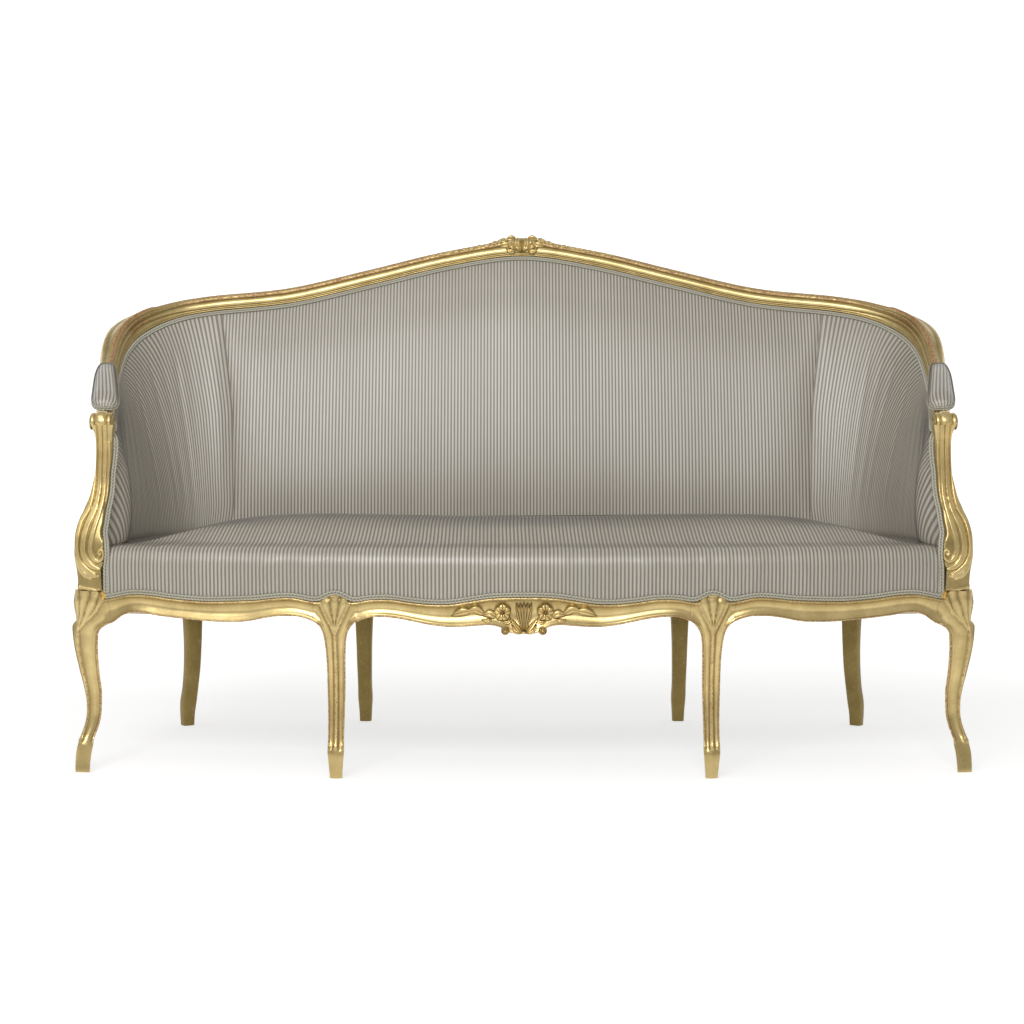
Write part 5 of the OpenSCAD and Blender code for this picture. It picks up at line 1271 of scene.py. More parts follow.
SEAT_FOOT_Z = HESSIAN_Z + HESSIAN_T + 2 * SEAT_GAP
CLOTH_PRESSURE, CLOTH_MASS, CLOTH_BENDING, CLOTH_FRAMES = 4.0, 0.4, 0.6, 12
chance = np.random.default_rng(SEED)


def points_of(mesh, kind="co"):
    """The points of a mesh, or their normals, as rows."""
    rows = np.empty(len(mesh.vertices) * 3)
    mesh.vertices.foreach_get(kind, rows)
    return rows.reshape(-1, 3)


def set_points(mesh, points):
    mesh.vertices.foreach_set("co", points.ravel())
    mesh.update()


def inflate(obj, held, cap):
    """Fill a pad with cloth pressure. Points move as far as cap times one less held lets them."""
    start = points_of(obj.data)
    group = obj.vertex_groups.new(name="held")
    for index in np.flatnonzero(held > 0.01):
        group.add([int(index)], float(min(held[index], 1)), "REPLACE")
    cloth = obj.modifiers.new("stuffing", "CLOTH")
    cloth.settings.vertex_group_mass = "held"
    cloth.settings.use_pressure = True
    cloth.settings.uniform_pressure_force = CLOTH_PRESSURE
    cloth.settings.effector_weights.gravity = 0
    cloth.settings.mass = CLOTH_MASS
    cloth.settings.bending_stiffness = CLOTH_BENDING
    cloth.collision_settings.use_collision = False
    cloth.point_cache.frame_start, cloth.point_cache.frame_end = 1, CLOTH_FRAMES
    scene = bpy.context.scene
    for number in range(1, CLOTH_FRAMES + 1):
        scene.frame_set(number)
    filled = obj.evaluated_get(bpy.context.evaluated_depsgraph_get()).data
    move = points_of(filled) - start
    limit = cap * np.clip(1 - held, 0, 1)
    size = np.linalg.norm(move, axis=1)
    move *= (limit * np.tanh(size / np.maximum(limit, 1e-6)) / np.maximum(size, 1e-9))[:, None]
    obj.modifiers.remove(cloth)
    obj.vertex_groups.remove(group)
    set_points(obj.data, start + move)
    scene.frame_set(1)


def creases(place, away, spread, count, width, reach):
    """Heights of small creases that start at random places along an edge and run out over a reach."""
    middles = np.sort(chance.uniform(spread[0], spread[1], count))
    sizes = chance.uniform(0.35, 1.0, count)
    lean = chance.uniform(-1, 1, count)
    widths = width * chance.uniform(0.6, 1.3, count)
    t = (place[..., None] - middles - lean * 0.5 * away[..., None]) / widths
    wave = np.exp(-t ** 2) * (1 - 1.1 * t ** 2)
    fade = np.exp(-np.clip(away, 0, 1)[..., None] / (reach * (0.5 + sizes)))
    return (wave * sizes * fade).sum(-1)


# Back and wing pads: fullness by share of the height, and thickness by station
full_rows = curve([
    (0, 0.74), (0.03, 0.90), (0.1, 0.98), (0.25, 1.0), (0.45, 0.9), (0.68, 0.68), (0.86, 0.42),
    (0.96, 0.16), (1.0, 0.0)])
plain_thick = curve([
    (-0.1, 0.060), (0, 0.060), (0.2, 0.060), (0.392, 0.059), (0.49, 0.0515), (0.6125, 0.0485),
    (0.8, 0.042), (0.93, 0.0385), (0.975, 0.0300), (1.006, 0.0165), (1.020, 0.0100)])
rolled_thick = curve([
    (0.5, 0.0505), (0.6125, 0.0485), (0.76, 0.0430), (0.81, 0.0400), (0.845, 0.0350), (0.865, 0.0335),
    (0.885, 0.0375), (0.910, 0.0475), (0.935, 0.0560), (0.960, 0.0605), (0.980, 0.0590),
    (0.994, 0.0510), (1.004, 0.0390), (1.012, 0.0240), (1.020, 0.0090)])
seam_drift = curve([
    (0, 0.026), (0.04, 0.022), (0.12, 0.014), (0.24, 0.010), (0.45, 0.003), (0.6, 0), (1, 0.003)])
front_run = unit(back_point(1.0, 0.5, 0.0) - back_point(0.985, 0.5, 0.0)) * (1, 1, 0)


def past_the_back(w):
    """How far forwards places beyond the last station lie."""
    return front_run * (np.maximum(np.abs(w) - 1, 0) * BACK_SPAN)[..., None]


def pad_thick(w, v):
    away = np.abs(w)
    inside = mix(rolled_thick(away), plain_thick(away), ramp(v, 0.72, 0.95))
    return np.where(away < 0.55, plain_thick(away), inside)


def pad_place(w, share):
    """Points of the pad's face by station and share of its height, and their heights in the back."""
    w, share = np.broadcast_arrays(np.asarray(w, float), np.asarray(share, float))
    drift = seam_drift(share) * np.exp(-((np.abs(w) - SEAM_W) / 0.10) ** 2)
    near = np.clip(w + np.sign(w) * drift, -1, 1)
    v = mix(v_of_z(near, PAD_FOOT_Z), 1 - PAD_TOP_GAP / height_at(near), share)
    seam = 0.0032 * np.exp(-((np.abs(w) - SEAM_W) * BACK_SPAN / 0.0050) ** 2)
    full = full_rows(share)
    a = mix(PAD_EDGE_A, POST_B + pad_thick(w, v), full) - seam * np.clip(full * 3, 0, 1)
    return back_point(near, v, a) + past_the_back(w), v


def stripes_on_wing(w, v):
    """The stripes fan out from the foot of the wing towards the arm, and slant over the front roll."""
    lean = np.interp(w, [0.49, 0.505, 0.61, 0.68, 0.755, 0.83, 0.862, 0.875, 1.1],
                     [0.0, 0.005, 0.030, 0.060, 0.095, 0.095, 0.085, 0.0, 0.0])
    slant = 0.085 * ramp(w, 0.86, 1.02) * v
    return (w - slant - lean * np.clip((v - 0.38) / 0.62, 0, 1) ** 1.7) * BACK_SPAN


PAD_SHARES = np.concatenate([
    np.linspace(0, 0.08, 9)[:-1], np.linspace(0.08, 0.86, 30)[:-1], np.linspace(0.86, 1.0, 12)])


def pad_solid(stations, label):
    """A pad over a row of stations; label says how far across the stripes a place of it lies."""
    w = stations[:, None]
    face, v = pad_place(w, PAD_SHARES[None])
    foot_v = v[:, :1]
    back_a = np.full((len(stations), 3), PAD_A)
    back_v = np.concatenate([mix(foot_v, v[:, -1:], k) for k in (1.0, 0.5, 0.0)], 1)
    back = back_point(np.clip(w, -1, 1), back_v, back_a) + past_the_back(w)
    rings = np.concatenate([face, back], 1)
    height = height_at(np.clip(w, -1, 1))
    across, along = label(face, w + 0 * v, v), v * height
    marks = {"across": np.hstack([across, np.repeat(across[:, -1:], 3, 1)]).ravel(),
             "along": np.hstack([along, back_v * height]).ravel()}
    points, faces = skin(rings)
    return points, faces, marks


def raise_points(mesh, rise):
    """Move the points of a mesh out along their normals."""
    set_points(mesh, points_of(mesh) + points_of(mesh, "normal") * rise.reshape(-1, 1))


BEHIND = 2.0  # stands for the share of the height on the three rows behind a pad


def dress_pad(obj, stations, cap):
    """Fill a back pad, then let the cloth pull a little at the braid and at the foot."""
    share = np.concatenate([PAD_SHARES, np.full(3, BEHIND)])[None] + 0 * stations[:, None]
    place = stations[:, None] * BACK_SPAN + 0 * share
    ends = np.minimum(stations - stations[0], stations[-1] - stations)[:, None] * BACK_SPAN
    held = np.maximum(1 - ramp(share, 0.0, 0.10), ramp(share, 0.80, 0.97))
    held = np.maximum(held, 1 - ramp(ends + 0 * share, 0.0, 0.030))
    in_face = share < BEHIND
    inflate(obj, np.where(in_face, held, 1.0).ravel(), cap)
    spread = (place.min(), place.max())
    run, tall = spread[1] - spread[0], 0.34
    top = creases(place, (1 - share) * tall, spread, int(26 * run), 0.009, 0.022)
    foot = creases(place, share * tall, spread, int(12 * run), 0.012, 0.020)
    slow = 0.0009 * np.sin(place * 9 + 3 * share) * np.sin(math.pi * np.clip(share, 0, 1))
    rise = 0.0011 * top * np.clip((1 - share) * 18, 0, 1) + 0.0010 * foot + slow
    raise_points(obj.data, np.where(in_face, rise, 0.0) * np.clip(ends / 0.01, 0, 1))


def make_back_pads():
    middle = np.linspace(-SEAM_W, SEAM_W, 171)
    back = piece("back_pad", pad_solid(middle, lambda p, w, v: p[..., 0]), SILK, "striped_fabric",
                 ["back_cover", "back_stuffing"], sharp=55)
    dress_pad(back, middle, 0.006)
    side = np.concatenate([np.linspace(WING_FROM_W, 0.97, 104)[:-1], np.linspace(0.97, WING_TO_W, 20)])
    solid = pad_solid(side, lambda p, w, v: stripes_on_wing(w, v))
    wings = both_sides("wing_pad", solid, SILK, "striped_fabric", ["wing_cover", "wing_stuffing"],
                       sharp=55)
    dress_pad(wings[0], side, 0.004)
    set_points(wings[1].data, points_of(wings[0].data) * (-1, 1, 1))


# Seat: rows of ring share, front height share and side height share, from the foot to the middle
SEAT_ROWS = [
    (1, 0.1, 0.1), (1.006, 0.28, 0.3), (1, 0.44, 0.48), (0.975, 0.56, 0.6), (0.93, 0.62, 0.63),
    (0.87, 0.65, 0.64), (0.78, 0.69, 0.65), (0.63, 0.79, 0.77), (0.45, 0.9, 0.89), (0.26, 0.975, 0.975),
    (0.1, 1, 1), (0.0005, 1.003, 1.003)]
SEAT_FRONT_IN = LEDGE_W - 3 * SEAT_GAP - COVER_T
SEAT_SIDE_IN = RAIL_T / 2 + PAD_A + RAIL_T * 0.1
SPINE_REACH, SPINE_Y = HALF_W / 2, -0.08 * SOFA_D
S_FRONT_END = S_CORNER - 0.0294
# The seat keeps clear of the arm support: its widest place by depth
beside_support = curve([
    (-0.36, 0.790), (-0.300, 0.790), (-0.2955, 0.7905), (-0.2925, 0.7925), (-0.288, 0.797),
    (-0.280, 0.7995), (-0.262, 0.800), (-0.248, 0.800), (-0.243, 0.806), (-0.236, 0.835),
    (-0.230, 0.90), (0.5, 0.95)])


def fold(s):
    return np.where(s > SEAT_LEN, 2 * SEAT_LEN - s, s)


SHELL_HALF = 0.0279


def show_edge(s):
    """Upper edge of the gilt face along the frame, over the shells on the middle legs too."""
    away = np.abs(np.abs(s) - S_MID)
    fall = 0.6 * np.maximum(away - SHELL_HALF, 0)
    shell = np.where(away < 0.0300, mid_dome(np.minimum(away, SHELL_HALF)) - fall, 0)
    return np.maximum(rail_top(np.abs(s)), shell)


def seat_ring_at(s, row, less=0.0):
    """One ring of the seat by its row of shares, drawn in by a length."""
    front = 1 - ramp(fold(s), S_FRONT_END, S_CORNER)
    depth = mix(SEAT_SIDE_IN, SEAT_FRONT_IN, front) + less
    p = on_seat(s, depth, 0.0)[..., :2]
    spine_x = np.clip(0.8 * p[..., 0], -SPINE_REACH, SPINE_REACH)
    spine = np.stack([spine_x, np.full(np.shape(s), SPINE_Y)], -1)
    q = spine + (p - spine) * row[0]
    z = DECK_H + SEAT_RISE * mix(row[2], row[1], front)
    limit = beside_support(q[..., 1])
    q[..., 0] = np.clip(q[..., 0], -limit, limit)
    return np.concatenate([q, z[..., None]], -1)


def smooth_crown(seat, share):
    """Carry the crown of the filled seat over its middle in one smooth sweep."""
    points = points_of(seat.data)
    terms = np.stack([points[:, 0] ** i * points[:, 1] ** j for i in (0, 2, 4) for j in (0, 1, 2)], -1)
    near = (share > 0.25) & (share < 0.70)
    fit = np.linalg.lstsq(terms[near], points[near, 2], rcond=None)[0]
    points[:, 2] = mix(points[:, 2], terms @ fit, 1 - ramp(share, 0.25, 0.55))
    set_points(seat.data, points)


def make_seat():
    """One crowned cushion from the rails to the crown, with its cloth drawn down behind the braid."""
    shown, around = S_CORNER + 0.03, 2 * SEAT_LEN
    s = np.concatenate([np.linspace(0, shown, 200)[:-1], np.linspace(shown, around - shown, 130)[:-1],
                        np.linspace(around - shown, around, 200)[:-1]])
    front = 1 - ramp(fold(s), S_FRONT_END, S_CORNER)
    edge = show_edge(fold(s))
    foot_z = mix(SEAT_FOOT_Z, edge + 0.003, front)
    under = seat_ring_at(s, (1, 0, 0), COVER_T + LAYER_GAP)

    def at_height(ring, z):
        ring = ring.copy()
        ring[:, 2] = z
        return ring

    middle = seat_ring_at(s, (0.006, 0, 0))
    outside = at_height(seat_ring_at(s, (1, 0, 0)), foot_z)
    line = spline(SEAT_ROWS, steps=4)
    rings = [at_height(middle, SEAT_FOOT_Z), at_height(under, SEAT_FOOT_Z), at_height(under, foot_z),
             outside]
    rings += [mix(outside, seat_ring_at(s, line[0]), k) for k in (0.33, 0.66)]
    rings += [seat_ring_at(s, row) for row in line]
    rings = np.array(rings)
    points, faces = skin(rings)
    wobble = 0.0007 * np.sin(points[:, 1] * 23 + points[:, 0] * 5)
    marks = {"across": points[:, 0] + wobble, "along": points[:, 1] - points[:, 2]}
    seat = piece("seat_cushion", (points, faces, marks), SILK, "striped_fabric",
                 ["seat_cover", "seat_stuffing"], sharp=60)
    height = (rings[..., 2] - DECK_H) / SEAT_RISE
    row_number = np.arange(len(rings))[:, None] + 0 * height
    below = len(rings) - len(line)
    row_share = np.concatenate([[1] * below, line[:, 0]])[:, None] + 0 * height
    held = np.where(row_number < below, 1.0, 1 - ramp(height, 0.15, 0.42))
    held = np.maximum(held, (1 - front)[None] * ramp(row_share, 0.62, 0.80))
    near_support = ramp(np.abs(rings[..., 0]), 0.765, 0.79) * (rings[..., 1] < -0.20)
    held = np.maximum(held, near_support)
    inflate(seat, held.ravel(), 0.007)
    smooth_crown(seat, row_share.ravel())
    place = np.where(s > SEAT_LEN, s - 2 * SEAT_LEN, s)[None] + 0 * height
    up = rings[..., 2] - foot_z[None]
    pulls = creases(place, np.clip(up, 0, 1), (-0.8, 0.8), 52, 0.0090, 0.024)
    shallow = creases(place, np.clip(up - 0.05, 0, 1), (-0.8, 0.8), 30, 0.022, 0.045)
    rise = 0.0026 * pulls * ramp(up, 0.002, 0.012) + 0.0012 * shallow
    rise *= front[None] * (row_number > below - 2)
    top = 0.0012 * np.sin(points[:, 0].reshape(height.shape) * 11 + 1.3) * ramp(height, 0.6, 0.8)
    raise_points(seat.data, rise + top * (row_number > below))


# Arm pads: where they lie on the arm, and their rise and width by share of their length
PAD_FROM, PAD_TO = 0.796 * TOP_LEN, 0.946 * TOP_LEN
ARM_PAD_T, ARM_PAD_W, ARM_PAD_UP = 0.027, 0.044, TOP_RAIL_H / 2 + 1.5 * LAYER_GAP
arm_rise = curve([
    (-0.1, 0.2), (0, 0.26), (0.04, 0.42), (0.10, 0.56), (0.25, 0.78), (0.5, 0.96), (0.8, 1.0),
    (0.93, 0.80), (0.975, 0.56), (1.0, 0.30), (1.1, 0.2)])
arm_wide = curve([
    (-0.1, 0.6), (0, 0.62), (0.1, 0.72), (0.3, 0.86), (0.6, 0.98), (0.84, 1.04), (0.95, 0.96),
    (1, 0.80), (1.1, 0.7)])
ARM_SECTION = [
    (-0.5, 0), (-0.54, 0.3), (-0.5, 0.55), (-0.4, 0.8), (-0.22, 0.95), (0, 1.0), (0.22, 0.95),
    (0.4, 0.8), (0.5, 0.55), (0.54, 0.3), (0.5, 0)]


def arm_pad_frame(share):
    u = mix(PAD_FROM, PAD_TO, share)
    c, out, up = top_frame(u)
    return c + up * ARM_PAD_UP, out, up


def arm_pad_solid():
    """A domed pad on the arm, and how firmly each of its points is held."""
    share = 0.5 - 0.5 * np.cos(math.pi * np.linspace(0, 1, 74))
    section = spline(ARM_SECTION, steps=5)
    c, out, up = arm_pad_frame(share)
    ends = np.minimum(share, 1 - share)
    close = 1 - 0.16 * (1 - ramp(ends, 0.0, 0.05))
    wide, tall = ARM_PAD_W * arm_wide(share) * close, ARM_PAD_T * arm_rise(share)
    a, b = section[:, 0][None] * wide[:, None], section[:, 1][None] * tall[:, None]
    rings = c[:, None] + out[:, None] * a[..., None] + up[:, None] * b[..., None]
    points, faces = skin(rings)
    around = lengths(section * (ARM_PAD_W, ARM_PAD_T))
    across = around[None] * arm_wide(share)[:, None] ** 0.35
    along = lengths(c)[:, None] + 0 * across
    held = np.maximum(1 - ramp(section[:, 1][None] + 0 * a, 0.05, 0.45),
                      1 - ramp(ends, 0.0, 0.05)[:, None])
    return (points, faces, {"across": across.ravel(), "along": along.ravel()}), held.ravel()


# Braids: two cords with slanted strands, laid along a path
def evenly(path, step, closed=False):
    """The path with its points a step apart."""
    path = np.vstack([path, path[:1]]) if closed else path
    share = lengths(path)
    places = np.linspace(0, share[-1], max(8, int(share[-1] / step)))
    return np.stack([np.interp(places, share, path[:, k]) for k in range(path.shape[1])], -1)


def softened(line, reach, times):
    """A line with each point moved to the mean of its neighbours, a number of times."""
    for _ in range(times):
        padded_line = np.concatenate([np.repeat(line[:1], reach, 0), line, np.repeat(line[-1:], reach, 0)])
        line = sum(padded_line[k:k + len(line)] for k in range(2 * reach + 1)) / (2 * reach + 1)
    return line


GIMP_FOOT = 0.0004


def braid(path, outward, width=GIMP_W, tall=0.0032, step=0.0009, strand=0.0064, closed=False,
          count=11):
    """A gimp along points with a direction that its face looks in at each of them."""
    both = evenly(np.hstack([path, outward]), step, closed)
    both = both[:-1] if closed else both
    mid, face = both[:, :3], unit(both[:, 3:])
    step_back, step_on = np.roll(mid, 1, 0), np.roll(mid, -1, 0)
    if not closed:
        step_back[0], step_on[-1] = mid[0], mid[-1]
    along = unit(step_on - step_back)
    side = unit(np.cross(face, along))
    face = unit(np.cross(along, side))
    b = np.linspace(-1, 1, count)[None]
    place = lengths(mid)[:, None]
    cords = np.sqrt(np.clip(1 - (2 * np.abs(b) - 1) ** 2, 0, 1))
    strands = 0.5 + 0.5 * np.cos(2 * math.pi * (place / strand - 0.95 * np.abs(b)))
    hump = mix(0.30, 1.0, cords) * mix(0.42, 1.0, strands)
    spread = b * width / 2 * (1 + 0.05 * (strands - 0.5))
    top = mid[:, None] + side[:, None] * spread[..., None] + face[:, None] * (tall * hump)[..., None]
    edges = side[:, None] * (spread[:, [-1, 0]] * 0.96)[..., None]
    under = mid[:, None] + edges - face[:, None] * GIMP_FOOT
    points, faces = skin(np.concatenate([top, under], 1), True, closed)
    return points, faces, {"hump": np.hstack([hump * cords ** 0.3, np.zeros((len(mid), 2))]).ravel()}


def seat_braid():
    """Along the foot of the seat, from corner to corner over the gilt face."""
    reach = S_CORNER - 0.0380
    s = np.linspace(-reach, reach, 900)
    z = softened((show_edge(s) + 0.0002 + GIMP_W / 2)[:, None], 4, 3)[:, 0]
    path = on_seat(s, SEAT_FRONT_IN - LAYER_GAP - GIMP_FOOT, z)
    out = np.pad(seat_out(s), ((0, 0), (0, 1)))
    return braid(path, out)


def back_braid():
    """Under the top rail from arm to arm, then down beside each arm support to the corner of the seat."""
    w = np.linspace(0, 0.955, 330)
    top, below = pad_place(w, 1.0)[0], pad_place(w, 0.955)[0]
    down = unit(below - top)
    inward = on_grid(w, inward_line)
    out = unit(np.cross(down, np.cross(inward, down)))
    out = unit(out - np.array([0, 0.9, 0]) * ramp(w, 0.78, 0.90)[:, None])
    upper = top + down * (GIMP_W / 2 + LAYER_GAP) + out * 0.0010
    z = np.linspace(0.632, 0.3400, 110)
    low = ramp(z, 0.452, 0.425)
    x = support_inner(z) - 0.0052
    y = np.minimum(support_front(z) + 0.0125, -0.247)
    lower = np.stack([mix(x, np.minimum(x, 0.7935), low), mix(y, -0.2985, low), z], -1)
    facing = unit(np.array([[-0.42, -1.0, 0.0]]))
    facing = unit(mix(facing, np.array([-0.12, -1.0, 0.0]), low[:, None]))
    over_arm = [upper[-1], (0.8035, -0.188, 0.6520), (0.7925, -0.228, 0.6435), lower[0]]
    bridge = spline(over_arm, upper[-8], lower[8], 14)[1:-1]
    turn = np.linspace(0, 1, len(bridge))[:, None]
    bridge_out = unit(mix(out[-1], facing[0], ramp(turn, 0, 1)))
    half = np.vstack([np.hstack([upper, out]), np.hstack([bridge, bridge_out]),
                      np.hstack([lower, facing])])
    half = softened(half, 2, 2)
    left = half[:0:-1] * (-1, 1, 1, -1, 1, 1)
    whole = np.vstack([left, half])
    return braid(whole[:, :3], whole[:, 3:])


def arm_pad_braid():
    """Round the foot of an arm pad."""
    turn = np.linspace(0, 2 * math.pi, 400, endpoint=False)

    def square(t):
        return np.sign(t) * np.abs(t) ** 0.32

    share = 0.5 + 0.5 * square(np.cos(turn)) * 1.012
    c, out, up = arm_pad_frame(share)
    half = 0.54 * ARM_PAD_W * arm_wide(share) + 0.0012
    side = square(np.sin(turn))
    path = c + out * (half * side)[:, None] + up * 0.0046
    tangent = unit(np.roll(path, -1, 0) - np.roll(path, 1, 0))
    looks = np.cross(tangent, up)
    middle = arm_pad_frame(np.array([0.5]))[0]
    looks *= np.sign((looks * (path - middle)).sum(-1, keepdims=True))
    return braid(path, softened(looks, 2, 2), 0.0090, 0.0022, closed=True)


def outer_shift(w, v):
    """The outer cover draws in behind the narrow neck of the arm support."""
    return 0.0165 * ramp(np.abs(w), 0.74, 0.94) * ramp(v, 0.24, 0.52)


def outer_braid():
    """Along the top of the outer cover, from wing to wing."""
    w = np.linspace(-PAD_END_W, PAD_END_W, 900)
    v = 1.002 - GIMP_W / 2 / height_at(w)
    path = back_point(w, v, OUTER_WING_A - LAYER_GAP - GIMP_FOOT + outer_shift(w, v))
    return braid(path, -on_grid(w, inward_line), step=0.0016, strand=0.0044, count=7)


# Sheets: stretched cloth made as thin closed solids
def as_sheet(name, middle, thick, inward, material, slot_name, nodes, marks=None):
    """A thin closed sheet from rows of points on its middle."""
    rows, count = middle.shape[:2]
    half = inward * thick / 2
    points = np.concatenate([(middle + half).reshape(-1, 3), (middle - half).reshape(-1, 3)])
    inner = grid_faces(rows, count)
    outer = inner[:, ::-1] + rows * count
    rim = np.concatenate([np.arange(count), np.arange(1, rows) * count + count - 1,
                          (rows - 1) * count + np.arange(count - 2, -1, -1),
                          np.arange(rows - 2, 0, -1) * count])
    after = np.roll(rim, -1)
    edge = np.stack([rim, rim + rows * count, after + rows * count, after], -1)
    faces = [tuple(f) for f in np.concatenate([inner, outer, edge])]
    extra = {k: np.concatenate([v.ravel(), v.ravel()]) for k, v in (marks or {}).items()}
    obj = piece(name, (points, faces, extra), material, slot_name, nodes)
    return obj


def back_sheet(name, w_from, w_to, v_low, v_high, a_of, thick, material, slot_name, nodes,
               silk=False, flip=False):
    """A sheet in the back between two stations and two heights, at the depth that a_of gives."""
    w = np.linspace(w_from, w_to, max(24, int((w_to - w_from) * 110)))[:, None]
    v = np.linspace(v_low, v_high, 26)[None] + 0 * w
    w = w + 0 * v
    middle = back_point(np.clip(w, -1, 1), v, a_of(w, v)) + past_the_back(w)
    marks = {}
    if silk:
        wide = middle[..., 0] if w_from < 0 else w * BACK_SPAN
        marks = {"across": wide, "along": v * height_at(w)}
    inward = on_grid(w, inward_line)
    if flip:
        middle, inward = middle * (-1, 1, 1), inward * (-1, 1, 1)
    return as_sheet(name, middle, thick, inward, material, slot_name, nodes, marks)


def slack(w, v, deep):
    """How far the cloth between the seams gives."""
    t = np.clip((w + SEAM_W) / (2 * SEAM_W), 0, 1)
    return deep * np.sin(math.pi * t) ** 0.5 * np.sin(math.pi * np.clip(v, 0, 1)) ** 0.7


def outer_back_depth(w, v):
    return OUTER_A + COVER_T / 2 + slack(w, v, 0.0004) * np.sin(w * 40)


def inner_back_depth(w, v):
    return BACK_HESS_A + HESSIAN_T / 2 + slack(w, v, 0.0003) * np.sin(v * 30)


def outer_wing_depth(w, v):
    return OUTER_WING_A + COVER_T / 2 + outer_shift(w, v)


def inner_wing_depth(w, v):
    return WING_HESS_A + HESSIAN_T / 2 + 0 * w


# Where the sheets of the back start and end: the outer covers, then the hessian
COVER_LOW_V, COVER_HIGH_V, COVER_TO_W = 0.012, 0.998, 1.010
HESSIAN_LOW_V, HESSIAN_HIGH_V = 0.06, 0.99


def make_back_sheets():
    back_sheet("outer_back_cloth", -SEAM_W, SEAM_W, COVER_LOW_V, COVER_HIGH_V, outer_back_depth,
               COVER_T, SILK, "striped_fabric", ["outer_back_cover"], True)
    back_sheet("back_hessian_cloth", -SEAM_W, SEAM_W, HESSIAN_LOW_V, HESSIAN_HIGH_V, inner_back_depth,
               HESSIAN_T, HESSIAN, "hessian", ["back_hessian"])
    for name, flip in (("right", False), ("left", True)):
        back_sheet(f"outer_wing_cloth_{name}", WING_FROM_W, COVER_TO_W, COVER_LOW_V, COVER_HIGH_V,
                   outer_wing_depth, COVER_T, SILK, "striped_fabric", [f"outer_wing_cover_{name}"],
                   True, flip)
        back_sheet(f"wing_hessian_cloth_{name}", WING_FROM_W, PAD_END_W, HESSIAN_LOW_V, HESSIAN_HIGH_V,
                   inner_wing_depth, HESSIAN_T, HESSIAN, "hessian", [f"wing_hessian_{name}"],
                   False, flip)


def frame_sheet(name, depth_at, z, sag, material, slot_name, nodes):
    """A level sheet inside the frame: columns of points from the front line to the back line."""
    t = np.linspace(0.02, 0.98, 150)
    turn_s, apart = S_REAR_CORNER * 0.78, 0.02
    front_s = mix(-turn_s, turn_s, t)
    front = on_seat(front_s, depth_at(front_s), z)
    back_s = mix(2 * SEAT_LEN - turn_s - apart, turn_s + apart, t)
    back = on_seat(back_s, depth_at(fold(back_s)), z)
    limit = beside_support(front[:, 1])
    if z > DECK_H:
        front[:, 0] = np.clip(front[:, 0], -limit, limit)
    k = np.linspace(0, 1, 30)[None, :, None]
    middle = mix(front[:, None], back[:, None], k)
    middle[..., 2] -= sag * np.sin(math.pi * k[..., 0]) ** 0.5 * np.sin(math.pi * t)[:, None] ** 0.5
    up = np.zeros_like(middle)
    up[..., 2] = 1
    return as_sheet(name, middle, HESSIAN_T, up, material, slot_name, nodes)


DUST_COVER_Z, DUST_COVER_SAG = 0.3024, 0.0018


def make_frame_sheets():
    def on_the_rails(s):
        return 0.66 * RAIL_T + 0 * s

    def clear_of_legs(s):
        legs = (S_MID, S_CORNER, S_REAR_CORNER, S_REAR_MID)
        away = np.min([np.abs(np.abs(s) - leg) for leg in legs], axis=0)
        return mix(1.42 * RAIL_T, 0.86 * RAIL_T, ramp(away, 0.034, 0.040))

    frame_sheet("seat_hessian_cloth", on_the_rails, HESSIAN_Z + HESSIAN_T / 2, 0.0,
                HESSIAN, "hessian", ["seat_hessian"])
    frame_sheet("dust_cover_cloth", clear_of_legs, DUST_COVER_Z, DUST_COVER_SAG,
                DUST_CLOTH, "dust_cloth", ["dust_cover"])


def make_upholstery():
    make_back_pads()
    make_seat()
    solid, held = arm_pad_solid()
    for pad in both_sides("padded_arm", solid, SILK, "striped_fabric", ["arm_pad"], sharp=60):
        inflate(pad, held, 0.0022)
    piece("seat_gimp_braided", seat_braid(), BRAID, "gimp_braid", ["seat_gimp"], sharp=0)
    piece("back_gimp_braided", back_braid(), BRAID, "gimp_braid", ["back_gimp"], sharp=0)
    ring = arm_pad_braid()
    piece("arm_pad_gimp_braided", joined([ring, mirrored(ring)]), BRAID, "gimp_braid", ["arm_pad_gimp"],
          sharp=0)
    piece("outer_gimp_braided", outer_braid(), BRAID, "gimp_braid", ["outer_gimp"], sharp=0)
    make_back_sheets()
    make_frame_sheets()


make_upholstery()


# Camera, floor and light
CAMERA_PLACE, CAMERA_DOWN, LENS_MM, SENSOR_MM = (-0.0222, -3.501, 0.6394), 2.5528, 59.46, 36.0
PAPER_COLOUR, PAPER_SEEN = (0.84, 0.84, 0.84, 1), (0.50, 0.50, 0.50, 1)
SKY_COLOUR, SKY_STRENGTH = (1.0, 0.99, 0.97, 1), 0.42
LAMP_AIM = (0, 0, 0.5)


def make_camera():
    """The camera at the place, tilt and lens found for the photograph."""
    lens = bpy.data.cameras.new("photo_view")
    lens.sensor_width, lens.lens = SENSOR_MM, LENS_MM
    lens.clip_end = 60
    camera = bpy.data.objects.new("photo_view", lens)
    camera.location = CAMERA_PLACE
    camera.rotation_euler = (math.radians(90 - CAMERA_DOWN), 0, 0)
    bpy.context.collection.objects.link(camera)
    bpy.context.scene.camera = camera


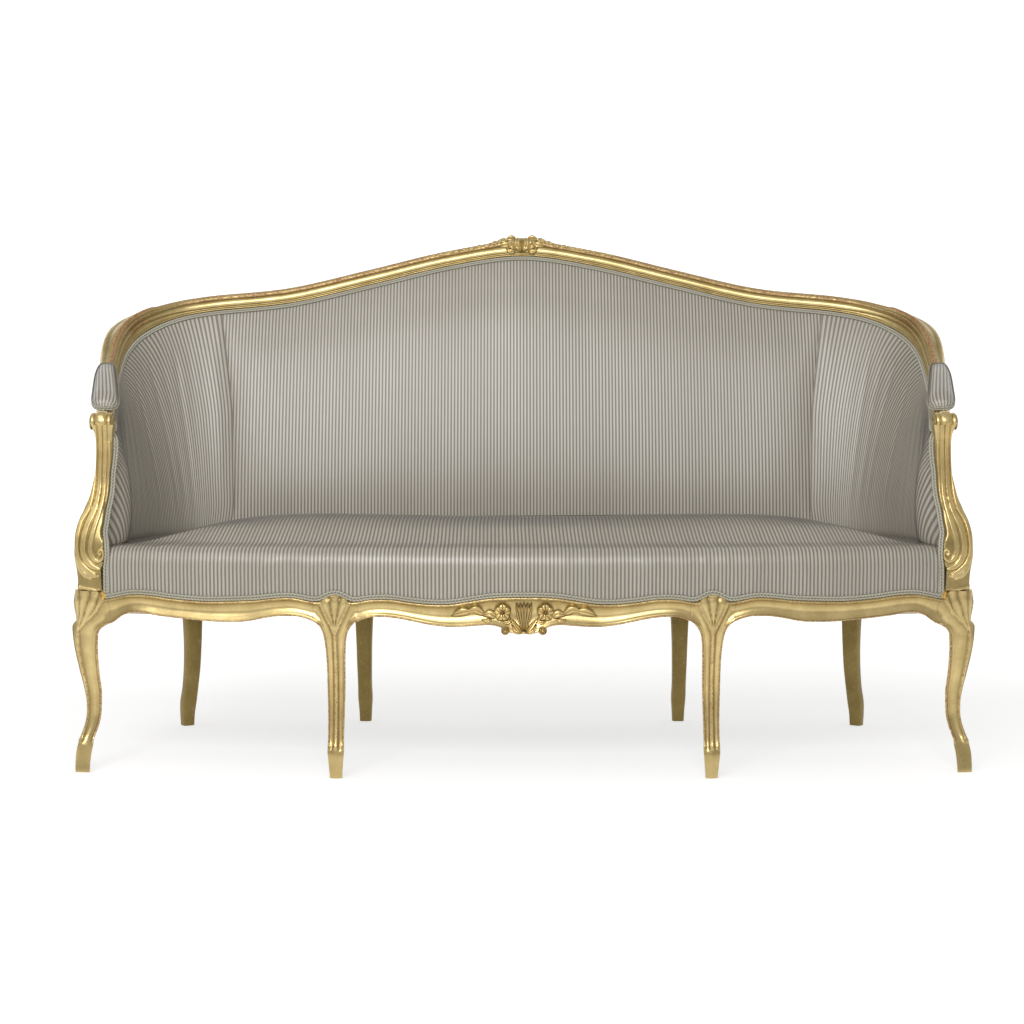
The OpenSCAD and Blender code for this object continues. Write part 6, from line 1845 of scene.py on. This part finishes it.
def make_floor():
    """A pale floor that curves up into a backdrop."""
    bend, reach, back = 1.2, 6.0, 3.2
    turn = np.linspace(0, math.pi / 2, 24)
    line = [(-reach, 0.0)] + [(back + bend * math.sin(t), bend * (1 - math.cos(t))) for t in turn]
    line += [(back + bend, 5.0)]
    points = [(x, y, z) for y, z in line for x in (-7.0, 7.0)]
    mesh = bpy.data.meshes.new("studio_floor")
    mesh.from_pydata(points, [], [tuple(f) for f in grid_faces(len(line), 2)])
    mesh.shade_smooth()
    made, tree, surface = new_material("studio_paper")
    path = put(tree, "ShaderNodeLightPath").outputs
    seen = maths(tree, "ADD", path["Is Camera Ray"], path["Is Glossy Ray"], True)
    seen = maths(tree, "ADD", seen, path["Is Transmission Ray"], True)
    where = object_place(tree)
    axes = put(tree, "ShaderNodeSeparateXYZ", {0: where}).outputs
    white = stretched(tree, axes[1], 0.6, 2.4, 0.70, 0.97)
    tree.links.new(blended(tree, seen, PAPER_COLOUR, PAPER_SEEN), surface["Base Color"])
    surface["Emission Color"].default_value = (1, 1, 1, 1)
    tree.links.new(maths(tree, "MULTIPLY", seen, white), surface["Emission Strength"])
    surface["Roughness"].default_value = 0.9
    surface["Specular IOR Level"].default_value = 0.1
    mesh.materials.append(made)
    floor = bpy.data.objects.new("studio_floor", mesh)
    bpy.context.collection.objects.link(floor)


def soft_lamp(name, place, size, power):
    data = bpy.data.lights.new(name, "AREA")
    data.shape, data.size, data.size_y, data.energy = "RECTANGLE", size[0], size[1], power
    lamp = bpy.data.objects.new(name, data)
    lamp.location = place
    lamp.rotation_euler = (Vector(LAMP_AIM) - Vector(place)).to_track_quat("-Z", "Y").to_euler()
    bpy.context.collection.objects.link(lamp)


def make_light():
    world = bpy.data.worlds.new("studio")
    bpy.context.scene.world = world
    world.use_nodes = True
    sky = world.node_tree.nodes["Background"].inputs
    sky["Color"].default_value = SKY_COLOUR
    sky["Strength"].default_value = SKY_STRENGTH
    soft_lamp("front_softbox", (-0.6, -3.7, 2.8), (2.6, 1.2), 88)
    soft_lamp("upper_softbox", (-1.4, -1.6, 3.0), (1.2, 0.9), 8)


make_camera()
make_floor()
make_light()
bpy.context.scene.view_settings.view_transform = "Standard"
